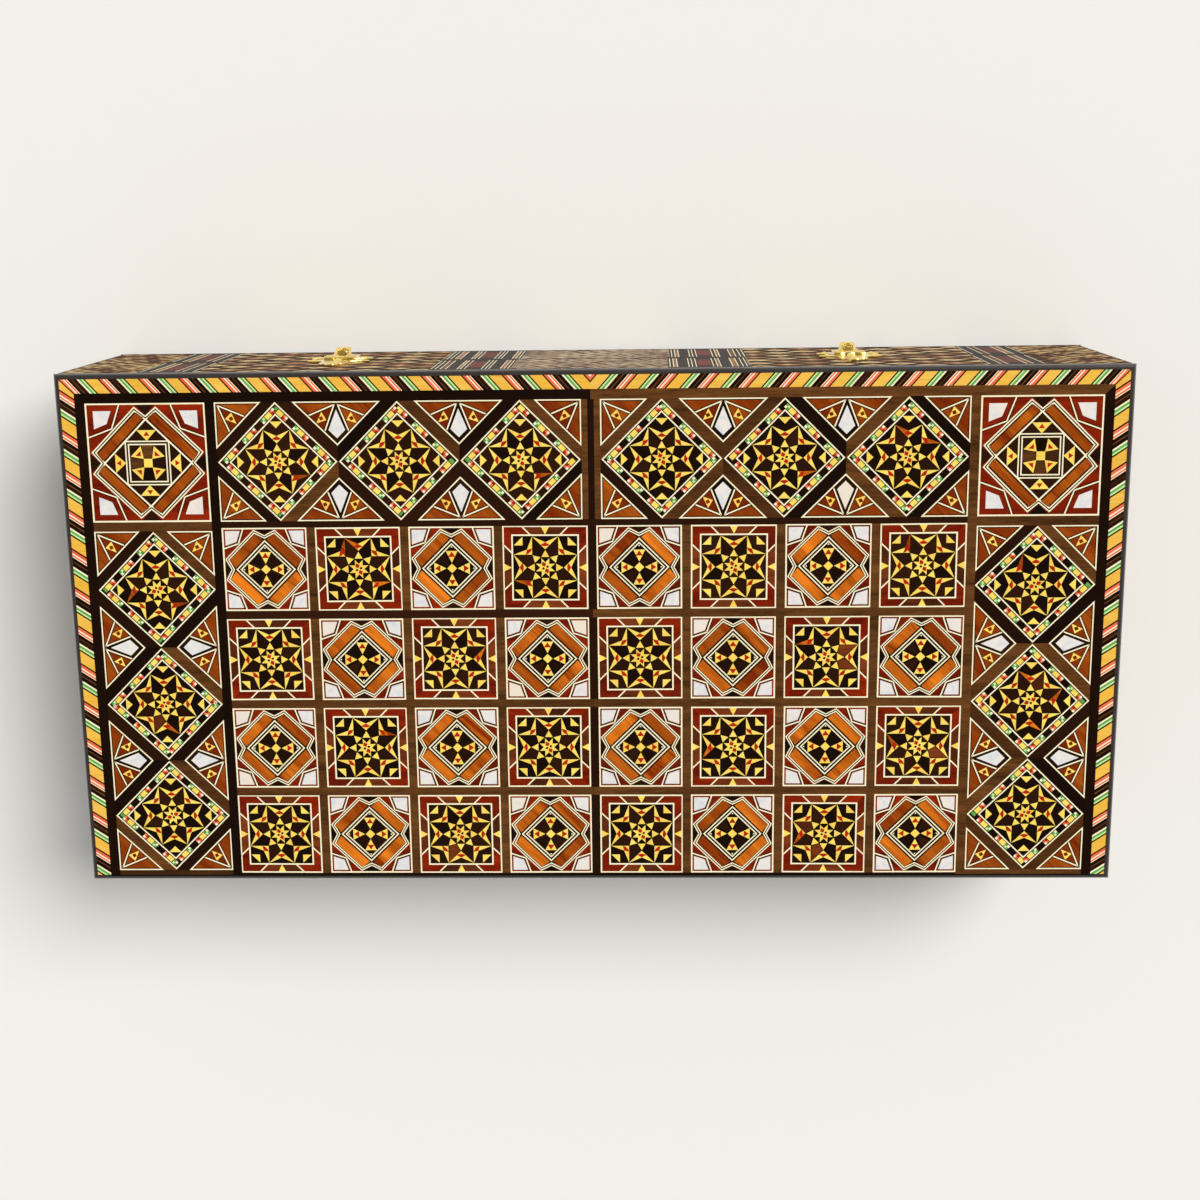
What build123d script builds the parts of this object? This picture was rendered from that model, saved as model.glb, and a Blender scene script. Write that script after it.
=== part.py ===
from build123d import *
import os

# Folding games box, lying closed on its base. Millimetres.
# +X runs along the hinge, -Y is the latch side, +Z is up, and the origin is the centre of the underside.
# The base and the lid are two equal trays that meet at the seam. Turned out flat they are one
# square chessboard, so a tray is half as wide as it is long.

# --- The two trays ---
box_length = 500.0
tray_height = 55.0
box_width = box_length / 2
seam_z = tray_height

board_veneer = 1.6        # walnut sheet that carries the outer marquetry
inlay_depth = 1.0         # thickness of the marquetry let into that sheet
floor_board = 6.0
field_veneer = 1.5        # the backgammon field inside
rail = 12.0               # thickness of a wall's wooden core
wall_veneer = 1.6
rim_strip = 2.0
edge_strip = 2.0          # square hardwood strip round the outer face
corner_strip = 2.2        # square hardwood strip up each corner
arris_radius = 1.6
seam_chamfer = 0.5

# --- The marquetry's layout on the outer face ---
stripe_band = 7.2         # slanting stripes beside the edge strip
frame_line = 4.6          # dark line between the stripes and the mosaics
corner_tile = 56.4
column_divider = 4.4      # walnut between the side columns and the chess squares
tile_gap = 4.0            # walnut between chess squares
centre_stile = 8.8        # walnut between the two band panels
fold_margin = 3.4         # walnut between the last chess squares and the fold
column_margin = 5.0       # walnut between a side column and the fold
tiles_across = 8
rows_on_tray = 4

# --- Hinges ---
hinge_spacing = 300.0
leaf_length = 50.0
leaf_depth = 10.0
leaf_thickness = 1.2
leaf_gap = 0.2            # between the two closed leaves
barrel_radius = 2.2
hinge_pin_radius = 1.0
axis_clearance = 0.25     # how far the hinge axis stands out of the wall
knuckles = 5
knuckle_gap = 0.2
mortise_clearance = 0.3
leaf_screw_radius = 1.1
leaf_screw_head = 2.0
leaf_screw_length = 9.0
leaf_screw_pitch = 16.0
leaf_screws = 3

# --- Latches ---
latch_spacing = 250.0
plate_thickness = 1.0
plate_from_seam = 0.8
catch_from_seam = 1.2
ear_span = 30.6           # pointed ears, tip to tip
ear_height = 11.0
ear_screw_spacing = 23.0
crest_root_width = 14.6   # tongue in the middle of both plates
crest_end_width = 12.6
crest_length = 25.0       # plate's edge by the seam to the tongue's shoulders
crest_corner_radius = 3.0
crest_lobe_radius = 3.6   # round lobe in the middle of the tongue's end
crest_reach = 28.0
crest_screw_from_end = 4.6
rivet_radius = 1.8        # round-headed rivet between the barrel and the crest
rivet_dome = 1.1
rivet_shank_radius = 0.9
rivet_from_seam = 6.4
latch_knuckle_radius = 1.2
latch_pin_radius = 0.6
latch_pin_from_seam = 1.5
latch_barrel = 15.0
flap_knuckle = 4.6
flap_sheet = 0.8
flap_root_width = 14.4
flap_waist_width = 9.6
flap_tip_width = 6.2
flap_flare = 4.0          # pin to the end of the flared root, along the wall
flap_waist = 6.4          # pin to the waist
flap_reach = 14.6         # pin to the thumb tab's tip
flap_rise = 5.9           # thumb tab's tip, out from the wall
flap_stand_off = 2.3      # the sheet's middle, out from the wall where it lies flat
flap_bend = 8.6           # pin to the bend where the thumb tab starts
flap_bend_radius = 1.6
window_width = 5.8
window_start = 6.2        # from the pin
window_end = 13.2
hook_width = 4.6
hook_thickness = 2.2
hook_from_pin = 9.6
hook_height = 4.9
hook_corner_radius = 2.1
latch_screw_radius = 0.8
latch_screw_head = 1.5
latch_screw_dome = 0.7
latch_screw_length = 6.0

pin_clearance = 0.05
screw_clearance = 0.05
latch_running_gap = 0.2   # between the latch's knuckles, and under them

# --- Worked out from the sizes above ---
margin = edge_strip + stripe_band + frame_line
field_half = box_length / 2 - margin - corner_tile - column_divider
tile = (2 * field_half - (tiles_across - 1) * tile_gap) / tiles_across
tile_pitch = tile + tile_gap
inner_length = box_length - 2 * (wall_veneer + rail)
inner_width = box_width - 2 * (wall_veneer + rail)
hinge_axis_y = box_width / 2 + axis_clearance
field_z = board_veneer + floor_board
rim_z = seam_z - rim_strip
latch_pin_z = seam_z + latch_pin_from_seam
latch_pin_out = latch_knuckle_radius + latch_running_gap
latch_pin_y = -box_width / 2 - latch_pin_out
sides = {"left": -1, "right": 1}


def block(low, high):
    """Block between two opposite corners."""
    size = [b - a for a, b in zip(low, high)]
    middle = [(a + b) / 2 for a, b in zip(low, high)]
    return Pos(*middle) * Box(*size)


def rod_x(radius, length, centre):
    """Round bar along X about a centre point."""
    return Pos(*centre) * Rot(0, 90, 0) * Cylinder(radius, length)


def slab(points, z_low, thickness):
    """Flat prism of a plan outline."""
    outline = make_face(Polyline(*points, close=True))
    return Pos(0, 0, z_low) * extrude(outline, thickness)


def group(shapes):
    """Several separate solids in one node."""
    return Compound(children=[solid for shape in shapes for solid in shape.solids()])


def as_lid(shape):
    """The lid's copy of a piece of the base, reflected in the seam."""
    return mirror(shape, about=Plane.XY.offset(seam_z))


# --- Tray carcass, drawn as the base's ---

def tray_envelope():
    """A tray's outside with its rounded arrises and the small chamfer at the seam."""
    half_l = box_length / 2
    half_w = box_width / 2
    body = block((-half_l, -half_w, 0), (half_l, half_w, seam_z))
    rounded = [e for e in body.edges() if e.center().Z < seam_z - seam_chamfer]
    body = fillet(rounded, arris_radius)
    rim = [e for e in body.edges() if e.center().Z > seam_z - seam_chamfer / 2]
    return chamfer(rim, seam_chamfer)


def edge_blocks():
    """Square strips round the outer face, long ones full length and short ones between them."""
    half_l = box_length / 2
    half_w = box_width / 2
    strips = []
    for side in (-1, 1):
        y_out = side * half_w
        y_in = side * (half_w - edge_strip)
        strips.append(block((-half_l, min(y_out, y_in), 0), (half_l, max(y_out, y_in), edge_strip)))
        x_out = side * half_l
        x_in = side * (half_l - edge_strip)
        y_end = half_w - edge_strip
        strips.append(block((min(x_out, x_in), -y_end, 0), (max(x_out, x_in), y_end, edge_strip)))
    return strips


def corner_blocks():
    """Square strips up the four corners, from the edge strips to the seam."""
    posts = []
    for side_x in (-1, 1):
        for side_y in (-1, 1):
            x = side_x * (box_length - corner_strip) / 2
            y = side_y * (box_width - corner_strip) / 2
            z = (edge_strip + seam_z) / 2
            posts.append(Pos(x, y, z) * Box(corner_strip, corner_strip, seam_z - edge_strip))
    return posts


def rebate(shape):
    """Cuts the room for the edge and corner strips out of a core piece."""
    for strip in edge_blocks() + corner_blocks():
        shape = shape - strip
    return shape


def floor_piece():
    """Plywood board between the marquetry and the walls."""
    x = box_length / 2 - wall_veneer
    y = box_width / 2 - wall_veneer
    return rebate(block((-x, -y, board_veneer), (x, y, field_z)))


def long_rail(side_y):
    """Front or hinge wall's core, full length."""
    x = box_length / 2 - wall_veneer
    y_out = side_y * (box_width / 2 - wall_veneer)
    y_in = side_y * inner_width / 2
    return rebate(block((-x, min(y_out, y_in), field_z), (x, max(y_out, y_in), rim_z)))


def short_rail(side_x):
    """End wall's core, between the long ones."""
    x_out = side_x * (box_length / 2 - wall_veneer)
    x_in = side_x * inner_length / 2
    y = inner_width / 2
    return block((min(x_out, x_in), -y, field_z), (max(x_out, x_in), y, rim_z))


def rim_pieces():
    """Strips on top of the four walls."""
    pieces = []
    for side in (-1, 1):
        x = box_length / 2 - wall_veneer
        y_out = side * (box_width / 2 - wall_veneer)
        y_in = side * inner_width / 2
        strip = block((-x, min(y_out, y_in), rim_z), (x, max(y_out, y_in), seam_z))
        pieces.append(rebate(strip))
        x_out = side * x
        x_in = side * inner_length / 2
        y = inner_width / 2
        pieces.append(block((min(x_out, x_in), -y, rim_z), (max(x_out, x_in), y, seam_z)))
    return pieces


def long_wall_veneer(side_y):
    """Mosaic veneer on the front or hinge wall, between the corner strips."""
    x = box_length / 2 - corner_strip
    y_out = side_y * box_width / 2
    y_in = side_y * (box_width / 2 - wall_veneer)
    sheet = block((-x, min(y_out, y_in), edge_strip), (x, max(y_out, y_in), seam_z))
    return sheet & tray_envelope()


def short_wall_veneer(side_x):
    """Mosaic veneer on an end wall, between the corner strips."""
    y = box_width / 2 - corner_strip
    x_out = side_x * box_length / 2
    x_in = side_x * (box_length / 2 - wall_veneer)
    sheet = block((min(x_out, x_in), -y, edge_strip), (max(x_out, x_in), y, seam_z))
    return sheet & tray_envelope()


def field_piece():
    """The inlaid backgammon field, wall to wall."""
    x = inner_length / 2
    y = inner_width / 2
    return block((-x, -y, field_z), (x, y, field_z + field_veneer))


# --- Marquetry of the outer face, drawn as the base's, with the fold towards +Y ---

def chess_squares(parity):
    """Every second chess square: those where column plus row is odd or even."""
    squares = []
    first_y = box_width / 2 - fold_margin - tile / 2
    for row in range(rows_on_tray):
        for column in range(tiles_across):
            if (row + column) % 2 == parity:
                x = (column - (tiles_across - 1) / 2) * tile_pitch
                y = first_y - row * tile_pitch
                squares.append(Pos(x, y, inlay_depth / 2) * Box(tile, tile, inlay_depth))
    return squares


def corner_squares():
    """The two large squares at the latch-side corners."""
    x = box_length / 2 - margin - corner_tile / 2
    y = -box_width / 2 + margin + corner_tile / 2
    square = Box(corner_tile, corner_tile, inlay_depth)
    return [Pos(side * x, y, inlay_depth / 2) * square for side in (-1, 1)]


def medallion_blocks():
    """Side columns and latch-side band panels, which hold the diamond mosaics."""
    panels = []
    band_low = -box_width / 2 + margin
    column_low = band_low + corner_tile + column_divider
    column_high = box_width / 2 - column_margin
    x_low = box_length / 2 - margin - corner_tile
    for side in (-1, 1):
        column_x = sorted((side * x_low, side * (x_low + corner_tile)))
        band_x = sorted((side * centre_stile / 2, side * field_half))
        panels.append(block((column_x[0], column_low, 0), (column_x[1], column_high, inlay_depth)))
        panels.append(
            block((band_x[0], band_low, 0), (band_x[1], band_low + corner_tile, inlay_depth))
        )
    return panels


def stripe_pieces():
    """Three strips of slanting stripes, mitred at the latch-side corners."""
    x_out = box_length / 2 - edge_strip
    x_in = x_out - stripe_band
    y_out = -box_width / 2 + edge_strip
    y_in = y_out + stripe_band
    y_end = box_width / 2 - edge_strip
    strips = [slab([(-x_out, y_out), (x_out, y_out), (x_in, y_in), (-x_in, y_in)], 0, inlay_depth)]
    for side in (-1, 1):
        corners = [
            (side * x_out, y_out),
            (side * x_out, y_end),
            (side * x_in, y_end),
            (side * x_in, y_in),
        ]
        strips.append(slab(corners, 0, inlay_depth))
    return strips


def ground_sheet(inlays):
    """Walnut sheet with the inlays' pockets."""
    x = box_length / 2 - edge_strip
    y = box_width / 2 - edge_strip
    sheet = block((-x, -y, 0), (x, y, board_veneer))
    return sheet - [solid for shape in inlays for solid in shape.solids()]


# --- Hinges ---

def hinge_x(side):
    return side * hinge_spacing / 2


def knuckle_spans(which):
    """Start and end along X of the even (0) or odd (1) knuckles of one hinge."""
    pitch = leaf_length / knuckles
    start = -leaf_length / 2
    spans = []
    for index in range(which, knuckles, 2):
        low = start + index * pitch + knuckle_gap / 2
        high = start + (index + 1) * pitch - knuckle_gap / 2
        spans.append((low, high))
    return spans


def leaf_screw_places(side):
    """Centre of each leaf screw, on the leaf's line of holes."""
    wall_y = box_width / 2
    flat_start = wall_y - leaf_depth
    y = (flat_start + wall_y - barrel_radius) / 2
    middle = (leaf_screws - 1) / 2
    return [(hinge_x(side) + (i - middle) * leaf_screw_pitch, y) for i in range(leaf_screws)]


def leaf_screw(x, y):
    """Countersunk screw, its head level with the leaf."""
    top = seam_z - leaf_gap / 2
    head = Cone(leaf_screw_radius, leaf_screw_head, leaf_thickness)
    shank_length = leaf_screw_length - leaf_thickness
    shank = Cylinder(leaf_screw_radius, shank_length)
    head = Pos(x, y, top - leaf_thickness / 2) * head
    return head + Pos(x, y, top - leaf_thickness - shank_length / 2) * shank


def leaf_screw_hole(x, y, depth_from):
    """Pilot hole below a given level."""
    bottom = seam_z - leaf_gap / 2 - leaf_screw_length - screw_clearance
    hole = Cylinder(leaf_screw_radius + screw_clearance, depth_from - bottom)
    return Pos(x, y, (depth_from + bottom) / 2) * hole


def leaf_countersink(x, y):
    """Tapered hole through the leaf."""
    top = seam_z - leaf_gap / 2
    small = leaf_screw_radius + screw_clearance
    large = leaf_screw_head + screw_clearance
    hole = Cone(small, large, leaf_thickness)
    return Pos(x, y, top - leaf_thickness / 2) * hole


def hinge_leaf(side, own, other):
    """A leaf let into the base's rim, with its knuckles; own and other say whose knuckles are whose."""
    x = hinge_x(side)
    top = seam_z - leaf_gap / 2
    low = (x - leaf_length / 2, box_width / 2 - leaf_depth, top - leaf_thickness)
    leaf = block(low, (x + leaf_length / 2, hinge_axis_y, top))
    reach = barrel_radius + knuckle_gap
    for start, end in knuckle_spans(other):
        centre = (x + (start + end) / 2, hinge_axis_y, seam_z)
        leaf = leaf - rod_x(reach, end - start + 2 * knuckle_gap, centre)
    for start, end in knuckle_spans(own):
        centre = (x + (start + end) / 2, hinge_axis_y, seam_z)
        leaf = leaf + rod_x(barrel_radius, end - start, centre)
    bore = rod_x(hinge_pin_radius + pin_clearance, leaf_length * 2, (x, hinge_axis_y, seam_z))
    leaf = leaf - bore
    for place in leaf_screw_places(side):
        leaf = leaf - leaf_countersink(*place)
    return leaf


def hinge_pin(side):
    return rod_x(hinge_pin_radius, leaf_length, (hinge_x(side), hinge_axis_y, seam_z))


def hinge_room():
    """What the two hinges need cut out of a tray: barrel grooves, leaf mortises and pilot holes."""
    cuts = []
    for side in sides.values():
        x = hinge_x(side)
        length = leaf_length + 2 * mortise_clearance
        barrel = rod_x(barrel_radius + mortise_clearance, length, (x, hinge_axis_y, seam_z))
        floor_z = seam_z - leaf_gap / 2 - leaf_thickness
        low = (x - length / 2, box_width / 2 - leaf_depth - mortise_clearance, floor_z)
        high = (x + length / 2, box_width / 2 + barrel_radius, seam_z + leaf_thickness)
        cuts += [barrel, block(low, high)]
        cuts += [leaf_screw_hole(*place, floor_z) for place in leaf_screw_places(side)]
    return cuts


# --- Latches. Drawn about one latch at x = 0, out from the front wall towards -Y ---

def on_wall(outline, out_from, thickness):
    """Extrudes an outline drawn in (x, height above the seam) outwards from the front wall."""
    wall = Plane(origin=(0, -box_width / 2 - out_from, seam_z), x_dir=(1, 0, 0), z_dir=(0, -1, 0))
    return extrude(wall * outline, thickness)


def ears(centre_height):
    """Two pointed ears: the overlap of two discs."""
    half_height = ear_height / 2
    radius = ((ear_span / 2) ** 2 + half_height ** 2) / (2 * half_height)
    offset = radius - half_height
    lower = Pos(0, centre_height + offset) * Circle(radius)
    upper = Pos(0, centre_height - offset) * Circle(radius)
    return lower & upper


def latch_knuckle(start, end):
    """Round barrel between two distances along X."""
    return rod_x(latch_knuckle_radius, end - start, ((start + end) / 2, latch_pin_y, latch_pin_z))


def latch_pin_room():
    centre = (0, latch_pin_y, latch_pin_z)
    return rod_x(latch_pin_radius + pin_clearance, 2 * latch_barrel, centre)


def lid_screw_places():
    """Ear screws and the crest screw of the lid's plate, as (x, height above the seam)."""
    ear_z = plate_from_seam + ear_height / 2
    half = ear_screw_spacing / 2
    crest_z = plate_from_seam + crest_reach - crest_screw_from_end
    return [(-half, ear_z), (half, ear_z), (0, crest_z)]


def base_screw_places():
    """Ear screws and the foot screw of the catch plate."""
    ear_z = -catch_from_seam - ear_height / 2
    half = ear_screw_spacing / 2
    foot_z = -catch_from_seam - crest_reach + crest_screw_from_end
    return [(-half, ear_z), (half, ear_z), (0, foot_z)]


def domed_head(radius, dome, x, height):
    """Round head sitting on a latch plate."""
    seat_y = -box_width / 2 - plate_thickness
    ball_radius = (radius ** 2 + dome ** 2) / (2 * dome)
    ball = Pos(x, seat_y + ball_radius - dome, seam_z + height) * Sphere(ball_radius)
    around = 2 * radius
    low = (x - around, seat_y - 2 * dome, seam_z + height - around)
    return ball & block(low, (x + around, seat_y, seam_z + height + around))


def shank_bar(radius, x, height, extra=0.0):
    """Straight shank through a latch plate into the wall."""
    length = latch_screw_length + plate_thickness + extra
    bar = Rot(90, 0, 0) * Cylinder(radius, length)
    y = -box_width / 2 + (latch_screw_length - plate_thickness) / 2
    return Pos(x, y, seam_z + height) * bar


def latch_screw(x, height):
    """Small domed screw through a latch plate into the wall."""
    head = domed_head(latch_screw_head, latch_screw_dome, x, height)
    return shank_bar(latch_screw_radius, x, height) + head


def latch_screw_room(x, height):
    """Pilot hole in the plate and the wall behind it."""
    return shank_bar(latch_screw_radius + screw_clearance, x, height, 2 * screw_clearance)


def latch_rivet():
    """Round-headed rivet in the middle of the lid's plate."""
    head = domed_head(rivet_radius, rivet_dome, 0, rivet_from_seam)
    return shank_bar(rivet_shank_radius, 0, rivet_from_seam) + head


def latch_rivet_room():
    return shank_bar(rivet_shank_radius + screw_clearance, 0, rivet_from_seam, 2 * screw_clearance)


def crest():
    """Tongue with a lobed end, drawn upwards; it starts in the middle of the ears."""
    half_root = crest_root_width / 2
    half_end = crest_end_width / 2
    root_z = ear_height / 2
    tongue = [(-half_root, root_z), (half_root, root_z), (half_end, crest_length), (-half_end, crest_length)]
    outline = make_face(Polyline(*tongue, close=True))
    shoulders = outline.vertices().sort_by(Axis.Y)[-2:]
    outline = fillet(shoulders, crest_corner_radius)
    return outline + Pos(0, crest_reach - crest_lobe_radius) * Circle(crest_lobe_radius)


def latch_plate():
    """The lid's plate: ears, crest and the two outer knuckles."""
    ear_z = plate_from_seam + ear_height / 2
    outline = ears(ear_z) + Pos(0, plate_from_seam) * crest()
    plate = on_wall(outline, 0, plate_thickness)
    for side in (-1, 1):
        start = flap_knuckle / 2 + latch_running_gap
        span = sorted((side * start, side * latch_barrel / 2))
        plate = plate + latch_knuckle(*span)
    notch_top = latch_pin_from_seam + latch_knuckle_radius + latch_running_gap
    notch_half = flap_knuckle / 2 + latch_running_gap
    notch = Pos(0, notch_top / 2) * Rectangle(2 * notch_half, notch_top)
    plate = plate - on_wall(notch, 0, plate_thickness) - latch_pin_room() - latch_rivet_room()
    for place in lid_screw_places():
        plate = plate - latch_screw_room(*place)
    return plate


def catch_plate():
    """The base's plate: ears, rounded foot and the hook that the flap drops over."""
    ear_z = -catch_from_seam - ear_height / 2
    outline = ears(ear_z) + Pos(0, -catch_from_seam) * mirror(crest(), about=Plane.XZ)
    plate = on_wall(outline, 0, plate_thickness)
    hook_z = latch_pin_from_seam - hook_from_pin
    stem = Pos(0, hook_z) * Rectangle(hook_width, hook_thickness)
    hook = on_wall(stem, 0, hook_height)
    along_z = hook.edges().filter_by(Axis.Z)
    outer = sorted(along_z, key=lambda edge: edge.center().Y)[:2]
    plate = plate + fillet(outer, hook_corner_radius)
    for place in base_screw_places():
        plate = plate - latch_screw_room(*place)
    return plate


def flap_profile():
    """Side view of the flap's sheet as a bent strip, in (distance out, height above the seam)."""
    root = (latch_pin_out + latch_knuckle_radius - flap_sheet / 2, latch_pin_from_seam)
    flat_start = (flap_stand_off, latch_pin_from_seam - flap_flare)
    bend = (flap_stand_off, latch_pin_from_seam - flap_bend)
    tip = (flap_rise - flap_sheet / 2, latch_pin_from_seam - flap_reach + flap_sheet / 2)
    path = FilletPolyline(root, flat_start, bend, tip, radius=flap_bend_radius)
    return trace(path, line_width=flap_sheet)


def flap_front():
    """Front view of the flap: flared root, waist and narrowing thumb tab, with the arched window."""
    knuckle_top = latch_pin_from_seam + latch_knuckle_radius
    root_z = latch_pin_from_seam - latch_knuckle_radius - latch_running_gap
    flare_z = latch_pin_from_seam - flap_flare
    waist_z = latch_pin_from_seam - flap_waist
    tip_z = latch_pin_from_seam - flap_reach - flap_sheet
    right_side = [
        (flap_knuckle / 2, knuckle_top),
        (flap_knuckle / 2, root_z),
        (flap_root_width / 2, root_z),
        (flap_root_width / 2, flare_z),
        (flap_waist_width / 2, waist_z),
        (flap_tip_width / 2, tip_z),
    ]
    left_side = [(-x, z) for x, z in reversed(right_side)]
    outline = make_face(Polyline(*right_side, *left_side, close=True))
    arch_radius = window_width / 2
    arch_z = latch_pin_from_seam - window_end + arch_radius
    top_z = latch_pin_from_seam - window_start
    window = Pos(0, (arch_z + top_z) / 2) * Rectangle(window_width, top_z - arch_z)
    window += Pos(0, arch_z) * Circle(arch_radius)
    return outline - window


def latch_flap():
    """The hasp: middle knuckle and bent sheet with the window."""
    side_view = Plane(origin=(0, -box_width / 2, seam_z), x_dir=(0, -1, 0), z_dir=(-1, 0, 0))
    sheet = extrude(side_view * flap_profile(), flap_root_width, both=True)
    sheet = sheet & on_wall(flap_front(), 0, 2 * flap_rise)
    flap = sheet + latch_knuckle(-flap_knuckle / 2, flap_knuckle / 2)
    return flap - latch_pin_room()


def at_latch(shape, side):
    return Pos(side * latch_spacing / 2, 0, 0) * shape


def latch_room(holes):
    """One latch's pilot holes, for both latches."""
    return [at_latch(hole, side) for side in sides.values() for hole in holes]


def lid_latch_room():
    return latch_room([latch_screw_room(*place) for place in lid_screw_places()] + [latch_rivet_room()])


def base_latch_room():
    return latch_room([latch_screw_room(*place) for place in base_screw_places()])


# --- The whole box, node by node ---

def tray_nodes(tray, parity, place):
    """One tray's nodes; place puts a piece of the base where the tray has it."""
    hinge_cuts = hinge_room()
    front_cuts = base_latch_room()
    if tray == "lid":
        front_cuts = [as_lid(cut) for cut in lid_latch_room()]
    envelope = tray_envelope()
    stars = chess_squares(parity)
    pearls = chess_squares(1 - parity)
    inlays = stars + pearls + corner_squares() + medallion_blocks() + stripe_pieces()
    rims = [strip - hinge_cuts for strip in rim_pieces()]
    posts = [post & envelope for post in corner_blocks()]
    strips = [strip & envelope for strip in edge_blocks()]
    nodes = {
        "board_ground": ground_sheet(inlays),
        "star_tiles": group(stars),
        "pearl_tiles": group(pearls),
        "corner_tiles": group(corner_squares()),
        "medallion_panels": group(medallion_blocks()),
        "stripe_bands": group(stripe_pieces()),
        "floor_board": floor_piece(),
        "front_rail": long_rail(-1) - front_cuts,
        "hinge_rail": long_rail(1) - hinge_cuts,
        "left_rail": short_rail(-1),
        "right_rail": short_rail(1),
        "front_veneer": long_wall_veneer(-1) - front_cuts,
        "hinge_veneer": long_wall_veneer(1) - hinge_cuts,
        "left_veneer": short_wall_veneer(-1),
        "right_veneer": short_wall_veneer(1),
        "edge_strips": group(strips),
        "corner_strips": group(posts),
        "rim_strips": group(rims),
        "playing_field": field_piece(),
    }
    return {f"{tray}_{name}": place(shape) for name, shape in nodes.items()}


def hinge_nodes():
    nodes = {}
    screws = []
    for name, side in sides.items():
        nodes[f"hinge_leaf_base_{name}"] = hinge_leaf(side, 0, 1)
        nodes[f"hinge_leaf_lid_{name}"] = as_lid(hinge_leaf(side, 1, 0))
        nodes[f"hinge_pin_{name}"] = hinge_pin(side)
        screws += [leaf_screw(*place) for place in leaf_screw_places(side)]
    nodes["hinge_screws_base"] = group(screws)
    nodes["hinge_screws_lid"] = as_lid(group(screws))
    return nodes


def latch_nodes():
    nodes = {}
    lid_screws = []
    base_screws = []
    rivets = []
    for name, side in sides.items():
        nodes[f"latch_plate_{name}"] = at_latch(latch_plate(), side)
        pin = rod_x(latch_pin_radius, latch_barrel, (0, latch_pin_y, latch_pin_z))
        nodes[f"latch_pin_{name}"] = at_latch(pin, side)
        nodes[f"latch_flap_{name}"] = at_latch(latch_flap(), side)
        nodes[f"catch_plate_{name}"] = at_latch(catch_plate(), side)
        lid_screws += [at_latch(latch_screw(*place), side) for place in lid_screw_places()]
        base_screws += [at_latch(latch_screw(*place), side) for place in base_screw_places()]
        rivets.append(at_latch(latch_rivet(), side))
    nodes["latch_screws_lid"] = group(lid_screws)
    nodes["latch_screws_base"] = group(base_screws)
    nodes["latch_rivets"] = group(rivets)
    return nodes


os.makedirs("parts", exist_ok=True)
all_nodes = tray_nodes("base", 0, lambda shape: shape)
all_nodes.update(tray_nodes("lid", 1, as_lid))
all_nodes.update(hinge_nodes())
all_nodes.update(latch_nodes())
for node_name, node_shape in all_nodes.items():
    export_step(node_shape, f"parts/{node_name}.step")
print(len(all_nodes), "nodes; chess square", round(tile, 2), "mm")
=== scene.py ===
import bmesh
import bpy
import math
import random
from mathutils import Matrix, Vector


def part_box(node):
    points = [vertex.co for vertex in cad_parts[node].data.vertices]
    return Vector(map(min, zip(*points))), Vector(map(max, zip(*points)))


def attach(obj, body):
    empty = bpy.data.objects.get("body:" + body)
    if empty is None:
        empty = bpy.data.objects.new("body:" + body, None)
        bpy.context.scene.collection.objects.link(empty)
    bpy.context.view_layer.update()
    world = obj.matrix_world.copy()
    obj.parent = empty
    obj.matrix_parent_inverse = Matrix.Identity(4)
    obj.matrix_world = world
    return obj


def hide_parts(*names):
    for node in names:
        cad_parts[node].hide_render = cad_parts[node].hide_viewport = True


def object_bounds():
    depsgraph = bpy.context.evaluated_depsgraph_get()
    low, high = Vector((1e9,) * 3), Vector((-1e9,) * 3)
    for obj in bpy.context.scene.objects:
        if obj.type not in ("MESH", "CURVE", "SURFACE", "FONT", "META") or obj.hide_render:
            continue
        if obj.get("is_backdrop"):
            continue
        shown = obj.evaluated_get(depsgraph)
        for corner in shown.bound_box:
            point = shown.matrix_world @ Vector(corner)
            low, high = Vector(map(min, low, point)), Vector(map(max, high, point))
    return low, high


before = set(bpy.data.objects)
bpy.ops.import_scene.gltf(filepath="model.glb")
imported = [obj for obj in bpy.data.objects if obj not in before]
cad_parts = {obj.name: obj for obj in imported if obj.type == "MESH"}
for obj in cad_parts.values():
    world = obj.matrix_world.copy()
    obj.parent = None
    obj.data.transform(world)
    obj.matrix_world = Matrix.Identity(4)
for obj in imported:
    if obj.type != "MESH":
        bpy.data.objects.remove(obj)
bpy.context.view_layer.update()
print("frame loaded")

mm = 0.001
chance = random.Random(11)

# Where the marquetry lies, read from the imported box, in millimetres.
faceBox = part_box("lid_board_ground")
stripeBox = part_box("lid_stripe_bands")
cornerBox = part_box("lid_corner_tiles")
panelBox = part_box("lid_medallion_panels")
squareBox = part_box("lid_star_tiles")
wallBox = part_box("lid_front_veneer")
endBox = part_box("lid_left_veneer")
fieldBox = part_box("base_playing_field")

faceTop = faceBox[1].z / mm
seamZ = faceTop / 2
stripeHalf = stripeBox[1].x / mm
stripeLatch = stripeBox[0].y / mm
foldY = stripeBox[1].y / mm
cornerOut = cornerBox[1].x / mm
cornerLow = cornerBox[0].y / mm
cornerHigh = cornerBox[1].y / mm
fieldHalf = squareBox[1].x / mm
fieldLow = squareBox[0].y / mm
fieldHigh = squareBox[1].y / mm
panelHigh = panelBox[1].y / mm


def shift(x, y, z=0.0):
    return Matrix.Translation((x, y, z))


def spin(degrees, axis="Z"):
    return Matrix.Rotation(math.radians(degrees), 4, axis)


toMetres = Matrix.Scale(mm, 4)
# The base is the lid turned over about the seam's long middle line.
turnOver = shift(0, 0, seamZ * mm) @ spin(180, "Y") @ shift(0, 0, -seamZ * mm)


def linear(rgb):
    return tuple(c / 12.92 if c <= 0.04045 else ((c + 0.055) / 1.055) ** 2.4 for c in rgb) + (1.0,)


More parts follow.
